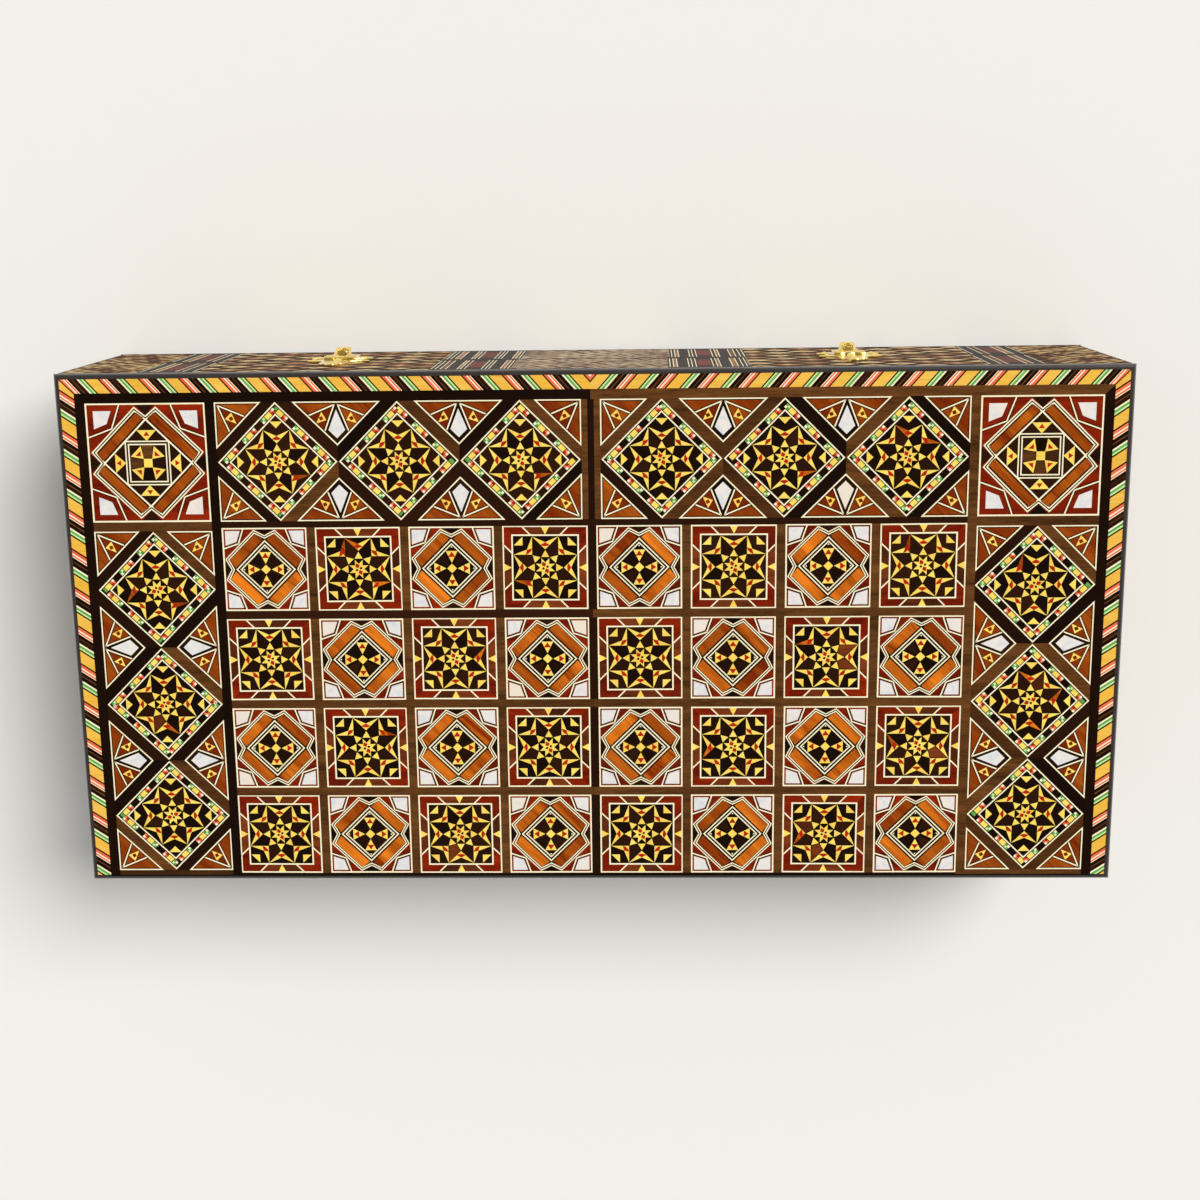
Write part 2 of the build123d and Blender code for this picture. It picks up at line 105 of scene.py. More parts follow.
def feed(tree, node, values):
    # Another node's socket is linked to the input, and a plain value is set on it.
    for key, value in values.items():
        if isinstance(value, bpy.types.NodeSocket):
            tree.links.new(value, node.inputs[key])
        else:
            node.inputs[key].default_value = value
    return node


def addNode(tree, kind, values=None, **settings):
    node = tree.nodes.new(kind)
    for key, value in settings.items():
        setattr(node, key, value)
    return feed(tree, node, values or {})


def addMaths(tree, operation, first, second=0.0, third=0.5, clamp=False):
    values = {0: first, 1: second, 2: third}
    return addNode(tree, "ShaderNodeMath", values, operation=operation, use_clamp=clamp).outputs[0]


def addMapping(tree, vector, **values):
    return addNode(tree, "ShaderNodeMapping", {"Vector": vector, **values}).outputs[0]


def addNoise(tree, vector, scale, **values):
    return addNode(tree, "ShaderNodeTexNoise", {"Vector": vector, "Scale": scale, **values}).outputs[0]


def addRange(tree, value, low, high, interpolation="LINEAR"):
    values = {"Value": value, "From Min": low, "From Max": high}
    return addNode(tree, "ShaderNodeMapRange", values, interpolation_type=interpolation).outputs[0]


def addBump(tree, height, strength, distance, invert=False):
    values = {"Height": height, "Strength": strength, "Distance": distance}
    return addNode(tree, "ShaderNodeBump", values, invert=invert).outputs[0]


def addVector(tree, *parts):
    return addNode(tree, "ShaderNodeCombineXYZ", dict(enumerate(parts))).outputs[0]


def splitVector(tree, vector):
    return addNode(tree, "ShaderNodeSeparateXYZ", {0: vector}).outputs


def mixColours(tree, factor, first, second):
    values = {0: factor, 6: first, 7: second}
    return addNode(tree, "ShaderNodeMix", values, data_type="RGBA", clamp_factor=True).outputs[2]


def addRamp(tree, source, stops, interpolation="LINEAR"):
    ramp = addNode(tree, "ShaderNodeValToRGB", {0: source})
    ramp.color_ramp.interpolation = interpolation
    elements = ramp.color_ramp.elements
    for index in (0, -1):
        elements[index].position = stops[index][0]
        elements[index].color = linear(stops[index][1])
    for position, colour in stops[1:-1]:
        elements.new(position).color = linear(colour)
    return ramp.outputs[0]


def addSteps(tree, source, colours):
    # A ramp of flat colours.
    stops = [(index / len(colours), colour) for index, colour in enumerate(colours)]
    return addRamp(tree, source, stops, "CONSTANT")


def newGroup(name, inputs, outputs):
    # A group takes a vector and some numbers, and puts out masks.
    tree = bpy.data.node_groups.new(name, "ShaderNodeTree")
    tree.interface.new_socket(name="Vector", in_out="INPUT", socket_type="NodeSocketVector")
    for label, value in inputs.items():
        socket = tree.interface.new_socket(name=label, in_out="INPUT", socket_type="NodeSocketFloat")
        socket.default_value = value
    for label in outputs:
        tree.interface.new_socket(name=label, in_out="OUTPUT", socket_type="NodeSocketFloat")
    return tree, tree.nodes.new("NodeGroupInput").outputs, tree.nodes.new("NodeGroupOutput")


def placeGroup(tree, group, vector, **values):
    named = {label.replace("_", " "): value for label, value in values.items()}
    return addNode(tree, "ShaderNodeGroup", {"Vector": vector, **named}, node_tree=group).outputs


def makeGrainGroup():
    # Long fibres along local X: broad figure, fine lines and short dark pores.
    scales = {"Figure Scale": 60.0, "Line Scale": 900.0, "Pore Scale": 1500.0}
    tree, start, end = newGroup("woodGrain", scales, ("Figure", "Lines", "Pores"))
    fibres = addMapping(tree, start["Vector"], Scale=(0.12, 1.0, 1.0))
    shorter = addMapping(tree, fibres, Scale=(0.35, 1.0, 1.0))
    pores = addNoise(tree, shorter, start["Pore Scale"], Detail=1.0, Roughness=0.5)
    feed(tree, end, {
        "Figure": addNoise(tree, fibres, start["Figure Scale"], Detail=3.0, Roughness=0.6, Distortion=0.7),
        "Lines": addNoise(tree, fibres, start["Line Scale"], Detail=4.0, Roughness=0.65, Distortion=0.2),
        "Pores": addRange(tree, pores, 0.60, 0.72)})
    return tree


def makeWearGroup():
    # Smudges of handling and fine rubbed scratches, for the gloss of any finish.
    inputs = {"Smudge Scale": 35.0, "Scratch Scale": 420.0, "Base": 0.2, "Smudge": 0.1, "Scratch": 0.05}
    tree, start, end = newGroup("handling", inputs, ("Roughness", "Dust"))
    vector = start["Vector"]
    smudge = addNoise(tree, vector, start["Smudge Scale"], Detail=4.0, Roughness=0.55, Distortion=0.4)
    slant = addMapping(tree, vector, Rotation=(0.4, 0.7, 0.9), Scale=(0.05, 1.0, 1.0))
    scratch = addRange(tree, addNoise(tree, slant, start["Scratch Scale"], Detail=2.0), 0.62, 0.7)
    marks = addMaths(tree, "ADD", addMaths(tree, "MULTIPLY", smudge, start["Smudge"]),
                     addMaths(tree, "MULTIPLY", scratch, start["Scratch"]))
    feed(tree, end, {"Roughness": addMaths(tree, "ADD", marks, start["Base"], clamp=True), "Dust": smudge})
    return tree


def makeRodGroup():
    # End-grain rods in diamonds: a rod's ring in its diamond, its tone, the diamond's tone and the joints.
    across = 5.0  # rods along a diamond's side
    slant = 1.4142  # a rod's diagonal to its side
    joint = 0.44  # where a rod ends and its joint starts
    middle = (across - 1) / 2
    tree, start, end = newGroup("rodMosaic", {"Rod": 0.0011}, ("Ring", "Tone", "Patch", "Joint"))
    split = splitVector(tree, start["Vector"])
    side = addMaths(tree, "MULTIPLY", start["Rod"], slant)
    rings = []
    gaps = []
    cells = []
    for sign in (1.0, -1.0):
        slanted = addMaths(tree, "ADD", split[0], addMaths(tree, "MULTIPLY", split[1], sign))
        steps = addMaths(tree, "DIVIDE", slanted, side)
        cell = addMaths(tree, "FLOOR", steps)
        cells.append(cell)
        turn = addMaths(tree, "FLOORED_MODULO", cell, across)
        rings.append(addMaths(tree, "ABSOLUTE", addMaths(tree, "SUBTRACT", turn, middle)))
        inCell = addMaths(tree, "SUBTRACT", addMaths(tree, "SUBTRACT", steps, cell), 0.5)
        gaps.append(addMaths(tree, "ABSOLUTE", inCell))
    feed(tree, end, {
        "Ring": addMaths(tree, "DIVIDE", addMaths(tree, "MAXIMUM", *rings), middle),
        "Joint": addMaths(tree, "GREATER_THAN", addMaths(tree, "MAXIMUM", *gaps), joint)})
    for label, count in (("Tone", 1.0), ("Patch", across)):
        whole = [addMaths(tree, "FLOOR", addMaths(tree, "DIVIDE", cell, count)) for cell in cells]
        values = {"Vector": addVector(tree, *whole)}
        noise = addNode(tree, "ShaderNodeTexWhiteNoise", values, noise_dimensions="2D")
        feed(tree, end, {label: noise.outputs["Value"]})
    return tree


rodGroup = makeRodGroup()
grainGroup = makeGrainGroup()
wearGroup = makeWearGroup()


def startMaterial(name):
    material = bpy.data.materials.new(name)
    material.use_nodes = True
    return material, material.node_tree, material.node_tree.nodes["Principled BSDF"]


def objectVector(tree, turn=0.0):
    return addMapping(tree, tree.nodes.new("ShaderNodeTexCoord").outputs["Object"], Rotation=(0, 0, turn))


def toneOf(tree):
    # The tone that each tessera was given when it was laid.
    return addNode(tree, "ShaderNodeAttribute", attribute_name="tone").outputs["Fac"]


def addWear(tree, vector, look, **scales):
    return placeGroup(tree, wearGroup, vector, Base=look["rough"], Smudge=look["smudge"],
                      Scratch=look["scratch"], **scales)


def makeWood(name, look):
    material, tree, shader = startMaterial(name)
    vector = objectVector(tree, look["turn"])
    tone = toneOf(tree)
    # Every tessera is cut from another place in the plank.
    offset = addVector(tree, tone, addMaths(tree, "MULTIPLY", tone, look["aside"]))
    shifted = addNode(tree, "ShaderNodeVectorMath", {0: vector, 1: offset}, operation="ADD").outputs[0]
    grain = placeGroup(tree, grainGroup, shifted, Figure_Scale=look["figure"], Line_Scale=look["lines"],
                       Pore_Scale=look["pores"])
    figure = addMaths(tree, "MULTIPLY_ADD", grain["Figure"], look["figureMix"], 0.5 - look["figureMix"] / 2)
    streak = addMaths(tree, "MULTIPLY_ADD", grain["Lines"], look["lineMix"], -look["lineMix"] / 2)
    base = addMaths(tree, "ADD", figure, streak, clamp=True)
    colour = mixColours(tree, base, linear(look["dark"]), linear(look["light"]))
    deep = addMaths(tree, "MULTIPLY_ADD", tone, look["tone"], look["tone"] * look["lean"])
    colour = mixColours(tree, deep, colour, linear(look["other"]))
    pored = addMaths(tree, "MULTIPLY", grain["Pores"], look["poreMix"])
    feed(tree, shader, {
        "Base Color": mixColours(tree, pored, colour, linear(look["pore"])),
        "Roughness": addWear(tree, vector, look)["Roughness"],
        "Normal": addBump(tree, grain["Lines"], look["bump"], look["bumpDepth"]),
        "Specular IOR Level": look["level"],
        "Coat Weight": look["coat"], "Coat Roughness": look["coatRough"]})
    return material


woodBasics = {
    "figure": 90.0, "lines": 1400.0, "pores": 2200.0, "figureMix": 0.9, "lineMix": 0.7, "tone": 0.35,
    "lean": 0.3, "turn": 0.0, "aside": 0.7, "poreMix": 0.15, "pore": (0.08, 0.04, 0.02),
    "rough": 0.26, "smudge": 0.10, "scratch": 0.08, "bump": 0.25, "bumpDepth": 0.00004,
    "coat": 0.15, "coatRough": 0.12, "level": 0.0,
}
woods = {
    "cream": {"light": (1.0, 0.975, 0.87), "dark": (0.97, 0.92, 0.74), "other": (0.94, 0.85, 0.60),
              "tone": 0.2},
    "yellow": {"light": (1.0, 0.92, 0.48), "dark": (0.96, 0.80, 0.29), "other": (0.92, 0.71, 0.26),
               "tone": 0.3},
    "ochre": {"light": (0.98, 0.80, 0.38), "dark": (0.88, 0.65, 0.20), "other": (0.93, 0.70, 0.20),
              "figure": 260.0, "figureMix": 1.5},
    "orange": {"light": (0.95, 0.52, 0.13), "dark": (0.50, 0.16, 0.005), "other": (0.44, 0.14, 0.02),
               "turn": 0.785, "poreMix": 0.3, "figure": 95.0, "figureMix": 2.8, "lineMix": 0.8, "tone": 0.55},
    "mahogany": {"light": (0.60, 0.16, 0.03), "dark": (0.33, 0.05, 0.01), "other": (0.26, 0.08, 0.03),
                 "figure": 130.0, "figureMix": 2.0},
    "chestnut": {"light": (0.56, 0.26, 0.11), "dark": (0.26, 0.10, 0.03), "other": (0.16, 0.08, 0.04),
                 "figure": 130.0, "figureMix": 1.8, "tone": 0.6},
    "red": {"light": (0.75, 0.17, 0.05), "dark": (0.64, 0.11, 0.03), "other": (0.56, 0.12, 0.05)},
    "coral": {"light": (0.97, 0.53, 0.38), "dark": (0.90, 0.37, 0.24), "other": (0.84, 0.24, 0.15)},
    "ebony": {"light": (0.125, 0.062, 0.03), "dark": (0.05, 0.022, 0.01), "other": (0.24, 0.12, 0.05),
              "tone": 0.4, "poreMix": 0.05, "figureMix": 1.2},
    "fern": {"light": (0.46, 0.72, 0.36), "dark": (0.30, 0.58, 0.26), "other": (0.30, 0.54, 0.24)},
    "leaf": {"light": (0.82, 0.95, 0.68), "dark": (0.70, 0.88, 0.56), "other": (0.76, 0.90, 0.54)},
    "brown": {"light": (0.48, 0.30, 0.145), "dark": (0.18, 0.10, 0.035), "other": (0.16, 0.075, 0.03),
              "figure": 140.0, "figureMix": 1.5, "lineMix": 1.0, "tone": 0.5, "poreMix": 0.35},
}
woodFinishes = {name: makeWood(name + "Wood", {**woodBasics, **look}) for name, look in woods.items()}

pearlLook = {
    "pale": (0.90, 0.89, 0.875), "blue": (0.83, 0.845, 0.87), "rose": (0.94, 0.90, 0.86),
    "cream": (0.94, 0.88, 0.78), "clouds": 160.0, "warm": 1.6, "warmFrom": -0.85,
    "rough": 0.14, "smudge": 0.12, "scratch": 0.05, "coat": 0.5, "coatRough": 0.06,
}


def makePearl(look):
    material, tree, shader = startMaterial("motherOfPearl")
    vector = objectVector(tree)
    clouds = addNoise(tree, vector, look["clouds"], Detail=3.0, Distortion=1.6)
    sheen = addRamp(tree, clouds, [(0.30, look["blue"]), (0.5, look["pale"]), (0.70, look["rose"])])
    warm = addMaths(tree, "MULTIPLY_ADD", toneOf(tree), look["warm"], look["warmFrom"])
    feed(tree, shader, {
        "Base Color": mixColours(tree, warm, sheen, linear(look["cream"])),
        "Roughness": addWear(tree, vector, look)["Roughness"],
        "Coat Weight": look["coat"], "Coat Roughness": look["coatRough"]})
    return material


woodFinishes["pearl"] = makePearl(pearlLook)
print("inlay materials made")

mosaicLook = {
    "lens": [(0.58, 0.32, 0.20), (0.98, 0.86, 0.64), (0.22, 0.16, 0.12)],
    "lensOther": [(0.97, 0.85, 0.63), (0.74, 0.54, 0.38), (0.34, 0.25, 0.19)],
    "gold": [(0.52, 0.20, 0.13), (0.27, 0.17, 0.11), (0.86, 0.73, 0.50)],
    "goldOther": [(0.88, 0.74, 0.48), (0.50, 0.30, 0.21), (0.28, 0.19, 0.13)],
    "grey": [(0.42, 0.20, 0.15), (0.60, 0.46, 0.38), (0.83, 0.76, 0.65)],
    "greyOther": [(0.33, 0.24, 0.19), (0.81, 0.74, 0.63), (0.48, 0.34, 0.28)],
    "joint": (0.10, 0.06, 0.04), "dark": (0.18, 0.12, 0.08), "tan": (0.66, 0.50, 0.36),
    "edge": (0.16, 0.09, 0.05), "lensRod": 0.0023, "chipRod": 0.0018, "stretch": 0.62,
    "lensShare": 0.42, "chipShare": 0.5, "tanShare": 0.07, "grain": 200.0, "grainMix": 0.25,
    "rodMix": 0.15, "jointMix": 0.35, "bump": 0.2, "bumpDepth": 0.00004,
    "rough": 0.40, "smudge": 0.12, "scratch": 0.08, "coat": 0.12, "coatRough": 0.3,
}


def addDiamonds(tree, look, kind, rods, share):
    # The colours of a diamond's rings, with a share of the diamonds in their other colours.
    ring = addMaths(tree, "MULTIPLY", rods["Ring"], 0.999)  # the last ring stays inside the last step
    other = addMaths(tree, "GREATER_THAN", rods["Patch"], 1 - share)
    first, second = (addSteps(tree, ring, look[kind + which]) for which in ("", "Other"))
    return mixColours(tree, other, first, second)


def makeMosaic(name, look, axis, lensFrom, lensTo):
    # The fine wall mosaic: gold chips at the ends, pale lozenges between, grey and red chips in the middle.
    material, tree, shader = startMaterial(name)
    coordinate = tree.nodes.new("ShaderNodeTexCoord").outputs
    split = splitVector(tree, coordinate["Object"])
    along, height = split[axis], split[2]
    stretched = addVector(tree, addMaths(tree, "MULTIPLY", along, look["stretch"]), height)
    lozenges = placeGroup(tree, rodGroup, stretched, Rod=look["lensRod"])
    chips = placeGroup(tree, rodGroup, addVector(tree, along, height), Rod=look["chipRod"])
    lens = addDiamonds(tree, look, "lens", lozenges, look["lensShare"])
    tan = addMaths(tree, "GREATER_THAN", lozenges["Tone"], 1 - look["tanShare"])
    lens = mixColours(tree, tan, lens, linear(look["tan"]))
    gold = addDiamonds(tree, look, "gold", chips, look["chipShare"])
    grey = addDiamonds(tree, look, "grey", chips, look["chipShare"])
    reach = addMaths(tree, "ABSOLUTE", along)
    inLens = addMaths(tree, "GREATER_THAN", reach, lensFrom)
    inGold = addMaths(tree, "GREATER_THAN", reach, lensTo)
    colour = mixColours(tree, inGold, mixColours(tree, inLens, grey, lens), gold)
    rod = mixColours(tree, inLens, chips["Tone"], lozenges["Tone"])
    grain = placeGroup(tree, grainGroup, coordinate["Object"], Figure_Scale=look["grain"])
    shade = addMaths(tree, "ADD", addMaths(tree, "MULTIPLY", grain["Figure"], look["grainMix"]),
                     addMaths(tree, "MULTIPLY", rod, look["rodMix"]))
    colour = mixColours(tree, shade, colour, linear(look["dark"]))
    joint = mixColours(tree, inLens, chips["Joint"], lozenges["Joint"])
    joint = addMaths(tree, "MULTIPLY", joint, look["jointMix"])
    colour = mixColours(tree, joint, colour, linear(look["joint"]))
    # The veneer's own edges are plain wood.
    facing = addMaths(tree, "ABSOLUTE", splitVector(tree, coordinate["Normal"])[2])
    colour = mixColours(tree, addMaths(tree, "GREATER_THAN", facing, 0.5), colour, linear(look["edge"]))
    feed(tree, shader, {
        "Base Color": colour, "Roughness": addWear(tree, coordinate["Object"], look)["Roughness"],
        "Normal": addBump(tree, joint, look["bump"], look["bumpDepth"], invert=True),
        "Specular IOR Level": 0.0, "Coat Weight": look["coat"], "Coat Roughness": look["coatRough"]})
    return material


# Tesserae are flat faces laid on a board for each wood, and each board gets its thickness at the end.
inlay = {"layer": 0.02, "layers": 8, "thin": 0.06, "deep": 0.80, "line": 0.62, "edges": 0.9}  # mm
boards = {}
quarters = range(0, 360, 90)
diagonals = range(45, 405, 90)


def boardFor(area, wood, deep):
    key = (area, wood, deep)
    if key not in boards:
        boards[key] = bmesh.new()
        boards[key].faces.layers.float.new("tone")
    return boards[key]


def tessera(wood, points, level, place, deep=False, tone=None, area="lid"):
    board = boardFor(area, wood, deep)
    if sum(a[0] * b[1] - b[0] * a[1] for a, b in zip(points, points[1:] + points[:1])) < 0:
        points = points[::-1]
    height = (level - inlay["layers"]) * inlay["layer"]
    face = board.faces.new([board.verts.new(place @ Vector((x, y, height))) for x, y in points])
    face[board.faces.layers.float["tone"]] = chance.uniform(-1, 1) if tone is None else tone


def shrink(points, distance):
    # The same outline, drawn evenly inside itself.
    shape = bmesh.new()
    face = shape.faces.new([shape.verts.new((x, y, 0)) for x, y in points])
    face.normal_update()
    bmesh.ops.inset_region(shape, faces=[face], thickness=distance, use_even_offset=True, use_boundary=True)
    inner = [(v.co.x, v.co.y) for v in face.verts]
    shape.free()
    return inner


def border(wood, points, width, level, place):
    # Strips mitred round the inside of an outline.
    inner = shrink(points, width)
    for i in range(len(points)):
        side = [points[i - 1], points[i], inner[i], inner[i - 1]]
        tessera(wood, side, level, place, tone=chance.uniform(-0.4, 0.4))


def strip(wood, start, end, width, level, place, area="lid"):
    a = Vector(start)
    b = Vector(end)
    side = (b - a).normalized().orthogonal() * width / 2
    points = [tuple(a + side), tuple(b + side), tuple(b - side), tuple(a - side)]
    tessera(wood, points, level, place, tone=0.0, area=area)


def edgedStrip(start, end, level, place):
    # A pale line with a thin dark line each side.
    strip("ebony", start, end, inlay["line"] + inlay["edges"], level, place)
    strip("cream", start, end, inlay["line"], level + 1, place)


def box(low, high):
    return [(low[0], low[1]), (high[0], low[1]), (high[0], high[1]), (low[0], high[1])]


def square(half):
    return box((-half, -half), (half, half))


def diamond(half, centre=(0, 0)):
    x, y = centre
    return [(x + half, y), (x, y + half), (x - half, y), (x, y - half)]


def polar(radius, degrees):
    angle = math.radians(degrees)
    return (radius * math.sin(angle), radius * math.cos(angle))


def turned(points, degrees):
    c = math.cos(math.radians(degrees))
    s = math.sin(math.radians(degrees))
    return [(x * c + y * s, y * c - x * s) for x, y in points]


def quarter(points, half, turn, side=1):
    # Points drawn for a square of half size 1, brought to size, mirrored where side is -1, and turned.
    return turned([(side * x * half, y * half) for x, y in points], turn)


def at(x, y, degrees=0.0):
    # A place on the lid's face, from millimetres to metres.
    return shift(x * mm, y * mm, faceTop * mm) @ spin(degrees) @ toMetres


star = {
    "tip": 16.2, "notch": 12.2, "apex": 8.8, "rayTip": 8.4, "rayBase": 5.1, "rayHalf": 1.85, "petalRoot": 5.7,
    "petalTurn": 3, "apexGap": 0.3, "tipGap": 0.6, "middle": 4.85, "middleNotch": 2.5, "odd": 0.04,
    "heart": [(0, 12.2), (2.2, 10.9), (0.8, 10.3), (-0.8, 10.3), (-2.2, 10.9)],
    "speck": [(0, 0.5), (1.15, 1.6), (0, 3.2), (-1.15, 1.6)],
    "specks": [(155, "red", 1.0), (335, "red", 1.0), (65, "ebony", 0.6), (245, "ebony", 0.6)],
}


def usually(wood, odd):
    # Now and then a tessera is of another wood.
    return wood if chance.random() > star["odd"] else odd


def drawStar(place, level):
    # Eight dark petals, yellow arrowheads in two halves with red hearts, and a small star in the middle.
    flank = star["apex"] - star["apexGap"]
    ray = [(0, star["rayTip"]), (star["rayHalf"], star["rayBase"]), (-star["rayHalf"], star["rayBase"])]
    for angle in range(0, 360, 45):
        petal = [polar(star["petalRoot"], angle + 22.5), polar(flank, angle + star["petalTurn"]),
                 polar(star["tip"] - star["tipGap"], angle + 22.5),
                 polar(flank, angle + 45 - star["petalTurn"])]
        tessera(usually("ebony", "chestnut"), petal, level, place)
        for side in (1, -1):
            half = [polar(star["tip"], side * 22.5), polar(star["apex"], 0), polar(star["notch"], 0)]
            tessera(usually("yellow", "orange"), turned(half, angle), level, place)
        tessera("red", turned(star["heart"], angle), level + 1, place)
        tessera("yellow", turned(ray, angle), level, place)
    points = []
    for angle in range(0, 360, 45):
        points += [polar(star["middleNotch"], angle), polar(star["middle"], angle + 22.5)]
    tessera("yellow", points, level, place)
    for angle, wood, size in star["specks"]:
        tessera(wood, quarter(star["speck"], size, angle), level + 1, place)


starSquare = {
    "edge": 0.7, "inner": 0.79, "innerLine": 0.72, "joint": [(0.535, 0.97), (0.33, 0.76)],
    "mahogany": [(0.97, 0.97), (0.53, 0.97), (0.37, 0.785), (0.785, 0.785)],
    "chestnut": [(0.0, 0.97), (0.53, 0.97), (0.37, 0.785), (0.0, 0.785)],
    "point": [(-0.09, 0.965), (0.09, 0.965), (0, 0.785)],
    "nick": [(0.53, 0.53), (0.735, 0.53), (0.53, 0.735)],
}


def drawStarSquare(half, place):
    # The dark chess square: the star in a mahogany and walnut frame.
    tessera("ebony", square(half), 0, place, deep=True)
    border("cream", square(half), starSquare["edge"], 2, place)
    for turn in quarters:
        for side in (1, -1):
            for wood in ("mahogany", "chestnut"):
                tessera(wood, quarter(starSquare[wood], half, turn, side), 1, place)
            strip("cream", *quarter(starSquare["joint"], half, turn, side), inlay["line"], 2, place)
        tessera("yellow", quarter(starSquare["point"], half, turn), 3, place)
    border("cream", square(starSquare["inner"] * half), starSquare["innerLine"], 4, place)
    drawStar(place, 4)
    for turn in quarters:
        tessera("yellow", quarter(starSquare["nick"], half, turn), 4, place)


# The light chess square, and the large square in each latch-side corner.
pearlSquare = {
    "edge": 0.75, "line": 0.50, "gap": 0.50, "diamond": 0.705, "diamondLine": 0.6, "tones": (-1, 1),
    "pearl": [(0.925, 0.925), (0.575, 0.925), (0.665, 0.665), (0.925, 0.575)], "odd": 0.02,
    "end": (0.97, 0.50), "knee": (0.62, 0.62), "wedge": [(-0.235, 0.97), (0.235, 0.97), (0, 0.82)],
    "outline": [(-0.25, 0.95), (0, 0.82), (0.25, 0.95)],
    "band": [(0.23, 0.845), (0.045, 0.715), (0.715, 0.045), (0.845, 0.23)],
    "rings": [(diamond, 0.605, 0.58, 5)], "middle": (diamond, 0.113),
    "parts": [
        ("ebony", [(0.05, 0.07), (0.165, 0.36), (0.36, 0.165), (0.07, 0.05)], 6),
        ("yellow", [(-0.14, 0.417), (0.14, 0.417), (0, 0.135)], 6),
        ("red", [(-0.085, 0.275), (0.085, 0.275), (0, 0.40)], 7),
        ("cream", [(-0.02, 0.50), (0.02, 0.50), (0, 0.54)], 6)],
}
cornerSquare = {
    "edge": 0.8, "line": 0.6, "gap": 0.55, "diamond": 0.75, "diamondLine": 0.75, "tones": (0.3, 1.4),
    "pearl": [(0.87, 0.87), (0.57, 0.87), (0.655, 0.655), (0.87, 0.57)], "odd": 0.02,
    "end": (0.97, 0.43), "knee": (0.575, 0.575), "wedge": [(-0.165, 0.97), (0.165, 0.97), (0, 0.79)],
    "outline": [(-0.18, 0.94), (0, 0.79), (0.18, 0.94)],
    "band": [(0.15, 0.845), (0.035, 0.755), (0.755, 0.035), (0.845, 0.15)],
    "rings": [(square, 0.374, 0.6, 6), (square, 0.323, 0.6, 6)], "middle": (square, 0.072),
    "parts": [
        ("yellow", [(-0.163, 0.55), (0.163, 0.55), (0, 0.372)], 6),
        ("red", [(-0.05, 0.455), (0.05, 0.455), (0, 0.53)], 7),
        (("ebony", "ebony", "brown"), [(-0.075, 0.09), (-0.09, 0.30), (0.09, 0.30), (0.075, 0.09)], 6),
        ("yellow", [(0.07, 0.07), (0.285, 0.11), (0.11, 0.285)], 6),
        ("red", [(0.12, 0.205), (0.205, 0.12), (0.115, 0.115)], 7)],
}


def notched(peak):
    points = []
    for turn in quarters:
        points += turned(peak, turn)
    return [p for i, p in enumerate(points) if i == 0 or (Vector(p) - Vector(points[i - 1])).length > 0.001]


def drawPearlSquare(half, place, look):
    # Mahogany corners with mother-of-pearl round a notched double line, and a small mosaic in a diamond.
    tessera("mahogany", square(half), 0, place, deep=True)
    border("cream", square(half), look["edge"], 3, place)
    for turn in quarters:
        wood = "pearl" if chance.random() > look["odd"] else "mahogany"
        tessera(wood, quarter(look["pearl"], half, turn), 2, place)
        for end in (look["end"], look["end"][::-1]):
            edgedStrip(*quarter([end, look["knee"]], half, turn), 1, place)
        tessera("ebony", quarter(look["wedge"], half, turn), 2, place)
    outer = [(x * half, y * half) for x, y in notched(look["outline"])]
    tessera("ebony", outer, 3, place)
    border("cream", outer, look["line"], 4, place)
    border("cream", shrink(outer, look["line"] + look["gap"]), look["line"], 4, place)
    for turn in quarters:
        tessera("orange", quarter(look["band"], half, turn), 4, place, tone=chance.uniform(*look["tones"]))
    border("cream", diamond(look["diamond"] * half), look["diamondLine"], 5, place)
    for outline, size, width, level in look["rings"]:
        border("cream", outline(size * half), width, level, place)
    outline, size = look["middle"]
    tessera("yellow", outline(size * half), 6, place)
    for turn in quarters:
        for wood, points, level in look["parts"]:
            wood = wood if isinstance(wood, str) else chance.choice(wood)
            tessera(wood, quarter(points, half, turn), level, place)


beads = {
    "unit": [("fern", 2.3), ("", 0.35), ("yellow", 3.2), ("", 0.35), ("coral", 2.3), ("", 4.6)], "width": 2.3,
    "checks": {"fern": ("leaf", "cream"), "coral": ("cream", "red")}, "start": 4, "over": 0.6, "least": 0.5,
    "leastCheck": 2, "short": 1, "lines": 5.4, "edge": 0.5, "tip": [(-3.0, 19.0), (3.0, 19.0), (0, 15.9)],
}


def drawDiamond(half, place):
    # A star in two pale lines, with a string of beads between the lines.
    for inwards in (0, beads["lines"]):
        border("cream", diamond(half - inwards), inlay["line"], 2, place)
    middle = (half - beads["edge"] - beads["lines"] / 2) / math.sqrt(2)
    for turn in diagonals:
        x = -middle + beads["over"] - chance.uniform(0, beads["start"])
        while x < middle - beads["short"]:
            for wood, length in beads["unit"]:
                low = max(x, -middle - beads["over"])
                high = min(x + length, middle + beads["over"])
                if wood and high - low > beads["least"]:
                    bead = box((low, middle - beads["width"] / 2), (high, middle + beads["width"] / 2))
                    tessera(wood, turned(bead, turn), 2, place)
                if wood in beads["checks"] and high - low > beads["leastCheck"]:
                    # A check of four: two squares of the other woods, corner to corner.
                    centre = (low + high) / 2
                    for side, other in zip((1, -1), beads["checks"][wood]):
                        far = (centre + side * length / 2, middle + side * length / 2)
                        tessera(other, turned(box(*sorted(((centre, middle), far))), turn), 3, place)
                x += length
    for turn in quarters:
        tessera("yellow", turned(beads["tip"], turn), 2, place)
    drawStar(place, 2)


triangle = {
    "tones": (0.8, 1.3), "kiteTones": (1.0, 1.6), "edge": 0.45, "dot": 1.2,
    "lance": [(5.5, 13.8), (-5.5, 13.8)], "lanceEnds": (0.8, 1.2),
    "pearl": [(0, 3.8), (3.9, 13.4), (0, 17.3), (-3.9, 13.4)],
}


